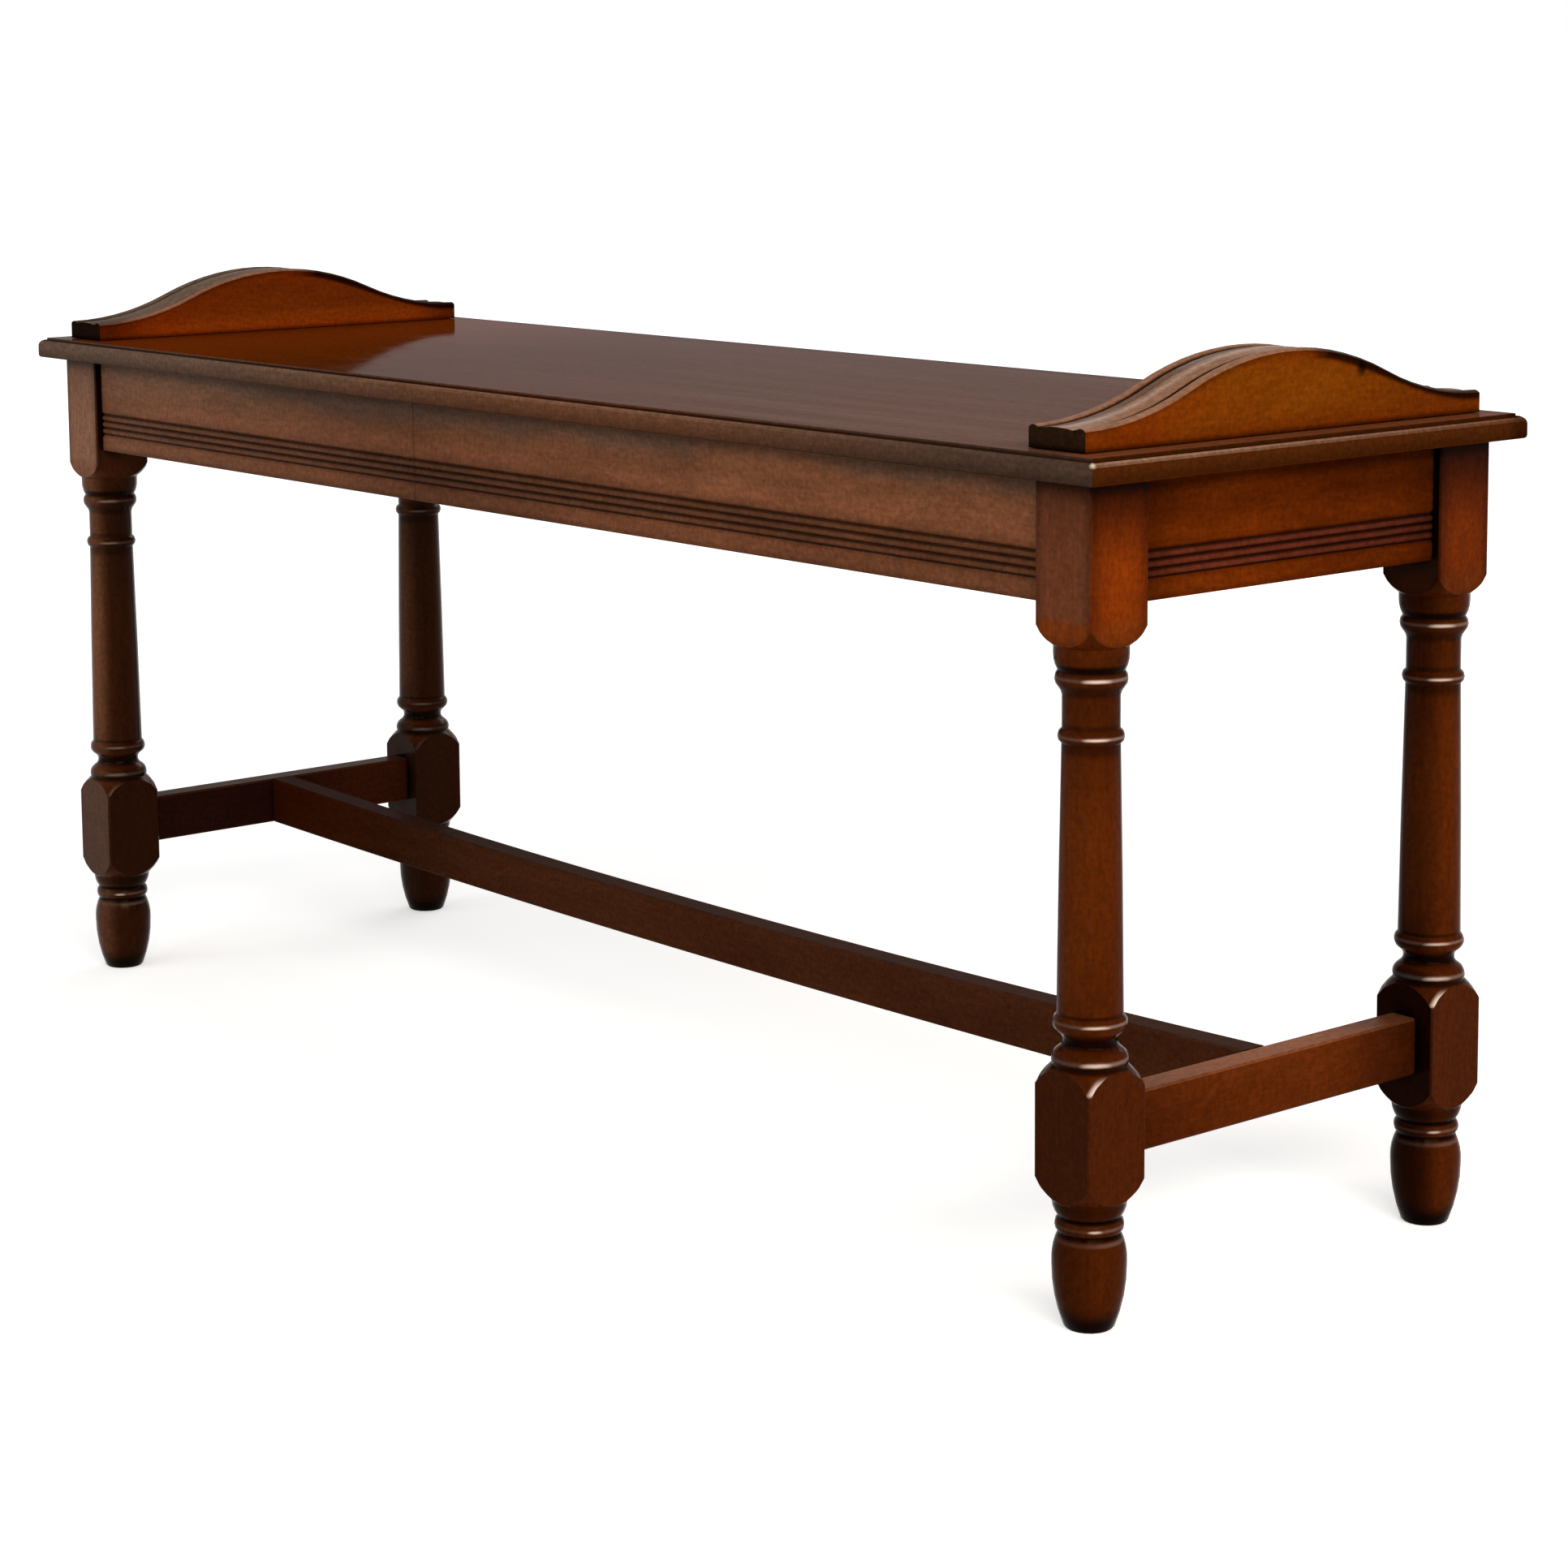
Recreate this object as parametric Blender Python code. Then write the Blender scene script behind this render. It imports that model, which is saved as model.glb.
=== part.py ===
"""Hall bench in polished mahogany, built as a joiner builds it.

A thumb-moulded seat board lies on a frame of four turned legs and four reeded frieze rails.
An arched upstand stands across each end of the seat, and an H of stretchers ties the legs.
Rails and stretchers are tenoned, and blocks and screws hold the seat from below.

Metres, +Z up. X runs along the bench, the front faces -Y, and the origin lies on the floor
under the middle of the seat.
"""

import math

import bmesh
import bpy
from mathutils import Vector

# Clearance between pieces that touch
FIT = 0.0003

# Seat board
SEAT_LENGTH = 1.153
SEAT_DEPTH = 0.3586
SEAT_HEIGHT = 0.4928
SEAT_THICKNESS = 0.015
END_OVERHANG = 0.0156
FRONT_OVERHANG = 0.0148
THUMB_WIDTH = 0.0050
THUMB_HEIGHT = 0.0047
THUMB_STEP = 0.0013
THUMB_STEPS = 5
SEAT_UNDER_ROUND = 0.0020

# Arched upstands
UPSTAND_THICKNESS = 0.044
UPSTAND_LENGTH = 0.325
UPSTAND_END_INSET = 0.0225
UPSTAND_END_HEIGHT = 0.0134
ARCH_RISE = 0.0342
ARCH_STEPS = 28
EDGE_BEAD_WIDTH = 0.0078
EDGE_BEAD_HEIGHT = 0.0017
EDGE_BEAD_STEPS = 4
CROWN_SUNK = 0.0004
CROWN_HEIGHT = 0.0010
CROWN_STEPS = 4
QUIRK_WIDTH = 0.0018
QUIRK_DEPTH = 0.0030

# Frieze rails
RAIL_HEIGHT = 0.069
RAIL_THICKNESS = 0.020
RAIL_RECESS = 0.0053
REED_COUNT = 3
REED_PITCH = 0.0050
REED_DEPTH = 0.0019
REED_BAND_FOOT = 0.0124
REED_STEPS = 4
REED_MARGIN = 0.0022
RAIL_TENON_THICKNESS = 0.008
RAIL_TENON_LENGTH = 0.022
RAIL_TENON_FOOT = 0.008
RAIL_HAUNCH = 0.014

# Legs: the square bar that they are turned from
LEG_SQUARE = 0.044
LEG_ARRIS = 0.0010
LATHE_STEPS = 20

# Legs: the foot and the ankle under the lower block, from the floor up
SOLE_RADIUS = 0.0132
SOLE_ROUND = 0.0012
FOOT_RADIUS = 0.0213
FOOT_RISE = 0.0366
FOOT_SWELL = 0.0018
FOOT_SHOULDER_RISE = 0.0176
FOOT_SHOULDER_SWELL = 0.0012
ANKLE_QUIRK_RADIUS = 0.0176
ANKLE_BEAD_RISE = 0.0088
ANKLE_BEAD_SWELL = 0.0020
ANKLE_NECK_RISE = 0.0096
ANKLE_NECK_SWELL = 0.0008

# Legs: the square blocks and the shoulders where the turning runs out into them
SHOULDER_RADIUS = 0.0212
SHOULDER_RISE = 0.0170
LOWER_SHOULDER_SWELL = 0.0012
TOP_SHOULDER_SWELL = 0.0020
LOWER_BLOCK_HEIGHT = 0.0436
TOP_BLOCK_HEIGHT = 0.0747

# Legs: the knop, the cove and the bead under the shaft
KNOP_RISE = 0.0088
KNOP_SWELL = 0.0017
COVE_RADIUS = 0.0184
COVE_RISE = 0.0098
COVE_DEPTH = 0.0032
SHAFT_BEAD_RISE = 0.0096
SHAFT_BEAD_SWELL = 0.0024
SHAFT_FOOT_RADIUS = 0.0188
SHAFT_TOP_RADIUS = 0.0165
SHAFT_ENTASIS = 0.0002

# Legs: the ring, the collar, the upper bead and the neck between shaft and top block
RING_RISE = 0.0083
RING_SWELL = 0.0023
COLLAR_RISE = 0.0161
COLLAR_RADIUS = 0.0163
UPPER_COVE_RISE = 0.0072
UPPER_COVE_DEPTH = 0.0009
UPPER_COVE_RADIUS = 0.0186
UPPER_BEAD_RISE = 0.0090
UPPER_BEAD_SWELL = 0.0018
NECK_QUIRK_RADIUS = 0.0187
NECK_CURVE_RISE = 0.0098
NECK_CURVE_SWELL = 0.0007
NECK_RISE = 0.0038

# Stretchers
STRETCHER_TOP = 0.1313
STRETCHER_HEIGHT = 0.035
STRETCHER_THICKNESS = 0.019
STRETCHER_ARRIS = 0.0013
CENTRE_BOW = 0.0057
CENTRE_WEAR = 0.0028
CENTRE_STEPS = 16
STRETCHER_TENON_THICKNESS = 0.008
STRETCHER_TENON_HEIGHT = 0.023
STRETCHER_TENON_LENGTH = 0.020
STUB_TENON_LENGTH = 0.010

# Blocks inside the frame
CORNER_BLOCK_LEG = 0.035
CORNER_BLOCK_HEIGHT = 0.045
GLUE_BLOCK_LENGTH = 0.045
GLUE_BLOCK_WIDTH = 0.020
GLUE_BLOCK_HEIGHT = 0.018
GLUE_BLOCK_CHAMFER = 0.006
LONG_BLOCK_COUNT = 3
LONG_BLOCK_PITCH = 0.300
END_BLOCK_COUNT = 2
END_BLOCK_PITCH = 0.080

# Countersunk screws
SCREW_HEAD_RADIUS = 0.0042
SCREW_RIM = 0.0004
SCREW_CONE = 0.0028
SCREW_RADIUS = 0.0021
SCREW_POINT = 0.0050
SCREW_STEPS = 8
SEAT_SCREW_LENGTH = 0.028
UPSTAND_SCREW_LENGTH = 0.032
UPSTAND_SCREW_COUNT = 3
UPSTAND_SCREW_PITCH = 0.080
UPSTAND_SCREW_INSET = 0.0135

# Where the pieces meet
SEAT_UNDERSIDE = SEAT_HEIGHT - SEAT_THICKNESS
FRAME_TOP = SEAT_UNDERSIDE - FIT
LEG_X = SEAT_LENGTH / 2 - END_OVERHANG - LEG_SQUARE / 2
LEG_Y = SEAT_DEPTH / 2 - FRONT_OVERHANG - LEG_SQUARE / 2
RAIL_OUTSET = LEG_SQUARE / 2 - RAIL_RECESS
RAIL_INSET = RAIL_OUTSET - RAIL_THICKNESS
RAIL_FOOT = SEAT_UNDERSIDE - RAIL_HEIGHT
UPSTAND_X = SEAT_LENGTH / 2 - UPSTAND_END_INSET - UPSTAND_THICKNESS / 2
STRETCHER_MIDDLE = STRETCHER_TOP - STRETCHER_HEIGHT / 2

SMOOTH_ANGLE = math.radians(40)
SIDES = {"left": -1, "right": 1}
FACES = {"front": -1, "rear": 1}


def clear_scene():
    for item in list(bpy.data.objects):
        bpy.data.objects.remove(item)


def make_material(name, colour, roughness, metallic=0.0):
    material = bpy.data.materials.new(name)
    material.use_nodes = True
    shader = material.node_tree.nodes["Principled BSDF"]
    shader.inputs["Base Color"].default_value = (*colour, 1.0)
    shader.inputs["Roughness"].default_value = roughness
    shader.inputs["Metallic"].default_value = metallic
    return material


def add_object(name, bm, material=None):
    """Turns a closed bmesh into an object with its faces pointing out."""
    bmesh.ops.recalc_face_normals(bm, faces=bm.faces)
    mesh = bpy.data.meshes.new(name)
    bm.to_mesh(mesh)
    bm.free()
    mesh.shade_smooth()
    mesh.set_sharp_from_angle(angle=SMOOTH_ANGLE)
    if material:
        mesh.materials.append(material)
    item = bpy.data.objects.new(name, mesh)
    bpy.context.collection.objects.link(item)
    return item


def combine(target, tools, operation):
    """Joins tools to target, or cuts them out of it, and removes them."""
    for tool in tools:
        modifier = target.modifiers.new(operation.title(), "BOOLEAN")
        modifier.operation = operation
        modifier.solver = "EXACT"
        modifier.object = tool
    bpy.context.view_layer.update()
    graph = bpy.context.evaluated_depsgraph_get()
    plain = target.data
    target.data = bpy.data.meshes.new_from_object(target.evaluated_get(graph))
    target.modifiers.clear()
    bpy.data.meshes.remove(plain)
    for tool in tools:
        bpy.data.objects.remove(tool)
    target.data.shade_smooth()
    target.data.set_sharp_from_angle(angle=SMOOTH_ANGLE)


def skin(rings):
    """Closed skin over rings of equal count, with a flat cap on the first and the last."""
    bm = bmesh.new()
    loops = [[bm.verts.new(point) for point in ring] for ring in rings]
    count = len(loops[0])
    for lower, upper in zip(loops, loops[1:]):
        for index in range(count):
            after = (index + 1) % count
            bm.faces.new((lower[index], lower[after], upper[after], upper[index]))
    bm.faces.new(list(reversed(loops[0])))
    bm.faces.new(loops[-1])
    return bm


def prism(outline, start, end, axis):
    """Extrudes a plane outline along X, Y or Z from start to end."""
    places = {
        "X": lambda u, v, along: (along, u, v),
        "Y": lambda u, v, along: (u, along, v),
        "Z": lambda u, v, along: (u, v, along),
    }
    place = places[axis]
    bm = bmesh.new()
    base = bm.faces.new([bm.verts.new(place(u, v, start)) for u, v in outline])
    grown = bmesh.ops.extrude_face_region(bm, geom=[base])
    moved = [item for item in grown["geom"] if isinstance(item, bmesh.types.BMVert)]
    bmesh.ops.translate(bm, verts=moved, vec=Vector(place(0.0, 0.0, end - start)))
    return bm


def rectangle(low, high):
    return [(low[0], low[1]), (high[0], low[1]), (high[0], high[1]), (low[0], high[1])]


def box(low, high):
    return prism(rectangle(low[:2], high[:2]), low[2], high[2], "Z")


def arc(start, end, swell, steps):
    """Points after start, up to end, on an arc whose middle stands off the chord by swell."""
    chord = end - start
    if not swell:
        return [end]
    across = Vector((chord.y, -chord.x)).normalized()
    half_angle = 2.0 * math.atan(2.0 * swell / chord.length)
    radius = chord.length / (2.0 * math.sin(half_angle))
    middle = (start + end) / 2.0
    points = []
    for step in range(1, steps + 1):
        angle = half_angle * (2.0 * step / steps - 1.0)
        along = chord.normalized() * (radius * math.sin(angle))
        off = across * (radius * (math.cos(angle) - math.cos(half_angle)))
        points.append(middle + along + off)
    return points


def quarter(centre, start_offset, end_offset, steps):
    """Quarter ellipse about centre from one half axis to the other, both ends included."""
    points = []
    for step in range(steps + 1):
        angle = math.pi / 2.0 * step / steps
        points.append(centre + start_offset * math.cos(angle) + end_offset * math.sin(angle))
    return points


def lathe(profile, steps):
    """Turns a profile of (radius, height) points about Z. Its ends lie on the axis."""
    bm = bmesh.new()
    verts = [bm.verts.new((point[0], 0.0, point[1])) for point in profile]
    edges = [bm.edges.new(pair) for pair in zip(verts, verts[1:])]
    bmesh.ops.spin(
        bm,
        geom=verts + edges,
        cent=(0.0, 0.0, 0.0),
        axis=(0.0, 0.0, 1.0),
        angle=2.0 * math.pi,
        steps=steps,
        use_merge=True,
    )
    bmesh.ops.remove_doubles(bm, verts=bm.verts, dist=0.00001)
    return bm


def seat_edge():
    """(inset, height) points of the seat's edge, from the underside to the flat top."""
    under_centre = Vector((SEAT_UNDER_ROUND, SEAT_UNDERSIDE + SEAT_UNDER_ROUND))
    under = quarter(
        under_centre, Vector((0.0, -SEAT_UNDER_ROUND)), Vector((-SEAT_UNDER_ROUND, 0.0)), 3
    )
    thumb_foot = SEAT_HEIGHT - THUMB_STEP - THUMB_HEIGHT
    thumb_centre = Vector((THUMB_WIDTH, thumb_foot))
    thumb = quarter(
        thumb_centre, Vector((-THUMB_WIDTH, 0.0)), Vector((0.0, THUMB_HEIGHT)), THUMB_STEPS
    )
    return under + thumb + [Vector((THUMB_WIDTH, SEAT_HEIGHT))]


def make_seat_board(material):
    """The board is cut across so that the seat between the upstands is a face of its own."""
    rings = []
    for inset, height in seat_edge():
        half_x = SEAT_LENGTH / 2 - inset
        half_y = SEAT_DEPTH / 2 - inset
        corners = rectangle((-half_x, -half_y), (half_x, half_y))
        rings.append([(x, y, height) for x, y in corners])
    bm = skin(rings)
    free_reach = UPSTAND_X - UPSTAND_THICKNESS / 2 - FIT
    for x in (-free_reach, free_reach):
        bmesh.ops.bisect_plane(
            bm,
            geom=bm.verts[:] + bm.edges[:] + bm.faces[:],
            plane_co=(x, 0.0, 0.0),
            plane_no=(1.0, 0.0, 0.0),
        )
    return add_object("seat_board", bm, material)


def arch_height(y):
    """Height of the upstand's top above the seat: two tangent arcs form each ogee."""
    half_span = UPSTAND_LENGTH / 2.0
    radius = (half_span ** 2 + ARCH_RISE ** 2) / (4.0 * ARCH_RISE)
    reach = abs(y)
    if reach < half_span / 2.0:
        rise = ARCH_RISE - (radius - math.sqrt(radius ** 2 - reach ** 2))
    else:
        rise = radius - math.sqrt(radius ** 2 - (half_span - reach) ** 2)
    return UPSTAND_END_HEIGHT + rise


def upstand_top():
    """(across, drop) points over the top: a bead, a broad low crown and a bead."""
    half = UPSTAND_THICKNESS / 2.0
    bead_inner = half - EDGE_BEAD_WIDTH
    crown_half = bead_inner - QUIRK_WIDTH
    bead_start = Vector((-half, -EDGE_BEAD_HEIGHT))
    bead_end = Vector((-bead_inner, -EDGE_BEAD_HEIGHT))
    bead = [bead_start] + arc(bead_start, bead_end, -EDGE_BEAD_HEIGHT, EDGE_BEAD_STEPS)
    crown_drop = -CROWN_SUNK - CROWN_HEIGHT
    crown_start = Vector((-crown_half, crown_drop))
    crown_end = Vector((crown_half, crown_drop))
    crown = [crown_start] + arc(crown_start, crown_end, -CROWN_HEIGHT, CROWN_STEPS)
    quirk = Vector((-bead_inner + QUIRK_WIDTH / 2.0, -QUIRK_DEPTH))
    left = bead + [quirk]
    right = [Vector((-point.x, point.y)) for point in reversed(left)]
    return left + crown + right


def make_upstand(side, material):
    sign = SIDES[side]
    base = SEAT_HEIGHT + FIT
    rings = []
    for step in range(ARCH_STEPS + 1):
        y = UPSTAND_LENGTH * (step / ARCH_STEPS - 0.5)
        top = SEAT_HEIGHT + arch_height(y)
        ring = [(point.x, y, top + point.y) for point in upstand_top()]
        ring.append((UPSTAND_THICKNESS / 2.0, y, base))
        ring.append((-UPSTAND_THICKNESS / 2.0, y, base))
        rings.append(ring)
    item = add_object(f"{side}_upstand", skin(rings), material)
    item.location.x = sign * UPSTAND_X
    return item


def leg_profile():
    """(radius, height) points of the turning, wide enough at the blocks to leave them square."""
    blank = LEG_SQUARE * 0.75
    profile = [Vector((0.0, 0.0)), Vector((SOLE_RADIUS, 0.0))]

    def turn(radius, rise, swell=0.0, steps=1):
        start = profile[-1]
        profile.extend(arc(start, Vector((radius, start.y + rise)), swell, steps))

    turn(SOLE_RADIUS + SOLE_ROUND, SOLE_ROUND)
    turn(FOOT_RADIUS, FOOT_RISE, FOOT_SWELL, 4)
    turn(ANKLE_QUIRK_RADIUS, FOOT_SHOULDER_RISE, FOOT_SHOULDER_SWELL, 4)
    turn(ANKLE_QUIRK_RADIUS, ANKLE_BEAD_RISE, ANKLE_BEAD_SWELL, 4)
    turn(SHOULDER_RADIUS, ANKLE_NECK_RISE, ANKLE_NECK_SWELL, 3)
    turn(blank, SHOULDER_RISE, LOWER_SHOULDER_SWELL, 4)
    turn(blank, LOWER_BLOCK_HEIGHT)
    turn(SHOULDER_RADIUS, SHOULDER_RISE, LOWER_SHOULDER_SWELL, 4)
    turn(COVE_RADIUS, KNOP_RISE, KNOP_SWELL, 4)
    turn(COVE_RADIUS, COVE_RISE, -COVE_DEPTH, 5)
    turn(SHAFT_FOOT_RADIUS, SHAFT_BEAD_RISE, SHAFT_BEAD_SWELL, 5)

    above_shaft = (
        RING_RISE + COLLAR_RISE + UPPER_COVE_RISE + UPPER_BEAD_RISE + NECK_CURVE_RISE
        + NECK_RISE + SHOULDER_RISE + TOP_BLOCK_HEIGHT
    )
    shaft_rise = FRAME_TOP - above_shaft - profile[-1].y
    turn(SHAFT_TOP_RADIUS, shaft_rise, SHAFT_ENTASIS, 2)
    turn(COLLAR_RADIUS, RING_RISE, RING_SWELL, 4)
    turn(COLLAR_RADIUS, COLLAR_RISE)
    turn(UPPER_COVE_RADIUS, UPPER_COVE_RISE, -UPPER_COVE_DEPTH, 3)
    turn(NECK_QUIRK_RADIUS, UPPER_BEAD_RISE, UPPER_BEAD_SWELL, 4)
    turn(SHOULDER_RADIUS, NECK_CURVE_RISE, NECK_CURVE_SWELL, 3)
    turn(SHOULDER_RADIUS, NECK_RISE)
    turn(blank, SHOULDER_RISE, TOP_SHOULDER_SWELL, 4)
    turn(blank, TOP_BLOCK_HEIGHT)
    profile.append(Vector((0.0, profile[-1].y)))
    return profile


def square_bar():
    """The leg's square bar with its four long arrises eased."""
    half = LEG_SQUARE / 2.0
    bm = box((-half, -half, -FIT), (half, half, FRAME_TOP + FIT))
    upright = [edge for edge in bm.edges if edge.verts[0].co.xy == edge.verts[1].co.xy]
    bmesh.ops.bevel(bm, geom=upright, offset=LEG_ARRIS, segments=1, affect="EDGES")
    return bm


def tenon_box(depth, thickness, foot, top, spare=0.0):
    """(low, high) corners of a tenon that leaves the X = 0 plane along +X, centred on Y."""
    half = thickness / 2.0 + spare
    return (-FIT - spare, -half, foot - spare), (depth + spare, half, top + spare)


def make_leg(face, side, material):
    """A leg is the turned profile wherever that lies inside the square bar."""
    x_sign = SIDES[side]
    y_sign = FACES[face]
    item = add_object(f"{face}_{side}_leg", lathe(leg_profile(), LATHE_STEPS), material)
    bar = add_object("square_bar", square_bar())
    combine(item, [bar], "INTERSECT")

    half = LEG_SQUARE / 2.0
    rail_line = (RAIL_OUTSET + RAIL_INSET) / 2.0
    foot, top = rail_tenon_span()
    cutters = []
    rail_depth = RAIL_TENON_LENGTH
    low, high = tenon_box(rail_depth, RAIL_TENON_THICKNESS, foot, top, FIT)
    long_rail = add_object("long_rail_mortise", box(low, high))
    long_rail.location = (-x_sign * half, y_sign * rail_line, 0.0)
    long_rail.rotation_euler.z = 0.0 if x_sign > 0 else math.pi
    cutters.append(long_rail)
    end_rail = add_object("end_rail_mortise", box(low, high))
    end_rail.location = (x_sign * rail_line, -y_sign * half, 0.0)
    end_rail.rotation_euler.z = y_sign * math.pi / 2.0
    cutters.append(end_rail)
    foot, top = stretcher_tenon_span()
    low, high = tenon_box(STRETCHER_TENON_LENGTH, STRETCHER_TENON_THICKNESS, foot, top, FIT)
    stretcher = add_object("stretcher_mortise", box(low, high))
    stretcher.location.y = -y_sign * half
    stretcher.rotation_euler.z = y_sign * math.pi / 2.0
    cutters.append(stretcher)
    combine(item, cutters, "DIFFERENCE")
    item.location = (x_sign * LEG_X, y_sign * LEG_Y, 0.0)
    return item


def rail_tenon_span():
    return RAIL_FOOT + RAIL_TENON_FOOT, FRAME_TOP - RAIL_HAUNCH


def stretcher_tenon_span():
    half = STRETCHER_TENON_HEIGHT / 2.0
    return STRETCHER_MIDDLE - half, STRETCHER_MIDDLE + half


def rail_outline():
    """(outward, height) outline of a frieze rail, whose face carries the band of reeds."""
    face = RAIL_OUTSET
    back = RAIL_INSET
    band_foot = RAIL_FOOT + REED_BAND_FOOT
    outline = [Vector((back, RAIL_FOOT)), Vector((face, RAIL_FOOT))]
    outline.append(Vector((face, band_foot - REED_MARGIN)))
    outline.append(Vector((face - REED_DEPTH, band_foot)))
    for reed in range(REED_COUNT):
        start = Vector((face - REED_DEPTH, band_foot + reed * REED_PITCH))
        end = start + Vector((0.0, REED_PITCH))
        outline += arc(start, end, REED_DEPTH, REED_STEPS)
    band_top = band_foot + REED_COUNT * REED_PITCH
    outline.append(Vector((face, band_top + REED_MARGIN)))
    outline.append(Vector((face, FRAME_TOP)))
    outline.append(Vector((back, FRAME_TOP)))
    return outline


def make_rail(name, leg_distance, leg_offset, turn, material):
    """A rail is drawn as the front one, facing -Y, and turned into its place about Z."""
    half = leg_distance - LEG_SQUARE / 2.0 - FIT
    outline = [(-(leg_offset + outward), height) for outward, height in rail_outline()]
    item = add_object(name, prism(outline, -half, half, "X"), material)
    line = -(leg_offset + (RAIL_OUTSET + RAIL_INSET) / 2.0)
    foot, top = rail_tenon_span()
    low, high = tenon_box(RAIL_TENON_LENGTH - FIT, RAIL_TENON_THICKNESS, foot, top)
    tenons = []
    for sign in (-1, 1):
        tenon = add_object("tenon", box(low, high))
        tenon.location = (sign * half, line, 0.0)
        tenon.rotation_euler.z = 0.0 if sign > 0 else math.pi
        tenons.append(tenon)
    combine(item, tenons, "UNION")
    item.rotation_euler.z = turn
    return item


def stretcher_ring(along, foot, top):
    """Section of a stretcher at one place along X, with its long arrises eased."""
    half = STRETCHER_THICKNESS / 2.0
    ease = STRETCHER_ARRIS
    section = [
        (-half + ease, foot), (half - ease, foot), (half, foot + ease), (half, top - ease),
        (half - ease, top), (-half + ease, top), (-half, top - ease), (-half, foot + ease),
    ]
    return [(along, y, z) for y, z in section]


def make_end_stretcher(side, material):
    """Drawn along X and turned to run from front leg to rear leg."""
    sign = SIDES[side]
    half = LEG_Y - LEG_SQUARE / 2.0 - FIT
    foot = STRETCHER_TOP - STRETCHER_HEIGHT
    rings = [stretcher_ring(along, foot, STRETCHER_TOP) for along in (-half, half)]
    item = add_object(f"{side}_end_stretcher", skin(rings), material)
    tenon_foot, tenon_top = stretcher_tenon_span()
    low, high = tenon_box(
        STRETCHER_TENON_LENGTH - FIT, STRETCHER_TENON_THICKNESS, tenon_foot, tenon_top
    )
    tenons = []
    for end in (-1, 1):
        tenon = add_object("tenon", box(low, high))
        tenon.location.x = end * half
        tenon.rotation_euler.z = 0.0 if end > 0 else math.pi
        tenons.append(tenon)
    combine(item, tenons, "UNION")
    low, high = tenon_box(
        STUB_TENON_LENGTH, STRETCHER_TENON_THICKNESS, tenon_foot, tenon_top, FIT
    )
    mortise = add_object("stub_mortise", box(low, high))
    mortise.location.y = sign * STRETCHER_THICKNESS / 2.0
    mortise.rotation_euler.z = -sign * math.pi / 2.0
    combine(item, [mortise], "DIFFERENCE")
    item.rotation_euler.z = math.pi / 2.0
    item.location.x = sign * LEG_X
    return item


def make_centre_stretcher(material):
    """It bows down under its own years, and feet have worn its top edge."""
    half = LEG_X - STRETCHER_THICKNESS / 2.0 - FIT
    foot = STRETCHER_TOP - STRETCHER_HEIGHT
    rings = []
    for step in range(CENTRE_STEPS + 1):
        share = 2.0 * step / CENTRE_STEPS - 1.0
        dip = 1.0 - share ** 2
        low = foot - CENTRE_BOW * dip
        high = STRETCHER_TOP - (CENTRE_BOW + CENTRE_WEAR) * dip
        rings.append(stretcher_ring(share * half, low, high))
    item = add_object("centre_stretcher", skin(rings), material)
    tenon_foot, tenon_top = stretcher_tenon_span()
    low, high = tenon_box(
        STUB_TENON_LENGTH - FIT, STRETCHER_TENON_THICKNESS, tenon_foot, tenon_top
    )
    tenons = []
    for end in (-1, 1):
        tenon = add_object("tenon", box(low, high))
        tenon.location.x = end * half
        tenon.rotation_euler.z = 0.0 if end > 0 else math.pi
        tenons.append(tenon)
    combine(item, tenons, "UNION")
    return item


def make_corner_block(face, side, material):
    """Fills the angle behind a leg, against both rails, with a notch for the leg's corner."""
    x_sign = SIDES[side]
    y_sign = FACES[face]
    rail_x = LEG_X + RAIL_INSET - FIT
    rail_y = LEG_Y + RAIL_INSET - FIT
    leg_x = LEG_X - LEG_SQUARE / 2.0 - FIT
    leg_y = LEG_Y - LEG_SQUARE / 2.0 - FIT
    outline = [
        (leg_x, leg_y), (leg_x, rail_y), (leg_x - CORNER_BLOCK_LEG, rail_y),
        (rail_x, leg_y - CORNER_BLOCK_LEG), (rail_x, leg_y),
    ]
    placed = [(x_sign * x, y_sign * y) for x, y in outline]
    bm = prism(placed, FRAME_TOP - CORNER_BLOCK_HEIGHT, FRAME_TOP, "Z")
    return add_object(f"{face}_{side}_corner_block", bm, material)


def screw_profile(length, spare=0.0):
    """Countersunk screw with its head on the Z = 0 plane and its point up."""
    if spare:
        foot = -spare
    else:
        foot = FIT
    return [
        Vector((0.0, foot)),
        Vector((SCREW_HEAD_RADIUS + spare, foot)),
        Vector((SCREW_HEAD_RADIUS + spare, FIT + SCREW_RIM)),
        Vector((SCREW_RADIUS + spare, FIT + SCREW_RIM + SCREW_CONE)),
        Vector((SCREW_RADIUS + spare, length - SCREW_POINT)),
        Vector((0.0, length + 2.0 * spare)),
    ]


def screw_tool(length, place, spare):
    item = add_object("screw", lathe(screw_profile(length, spare), SCREW_STEPS))
    item.location = place
    return item


def make_screws(stem, length, places, material):
    """Like screws, one object at each place. They share one mesh."""
    mesh = None
    for number, place in enumerate(places, start=1):
        name = f"{stem}_{number}"
        if mesh:
            item = bpy.data.objects.new(name, mesh)
            bpy.context.collection.objects.link(item)
        else:
            item = add_object(name, lathe(screw_profile(length), SCREW_STEPS), material)
            mesh = item.data
        item.location = place


def spread(count, pitch):
    return [pitch * (index - (count - 1) / 2.0) for index in range(count)]


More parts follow.
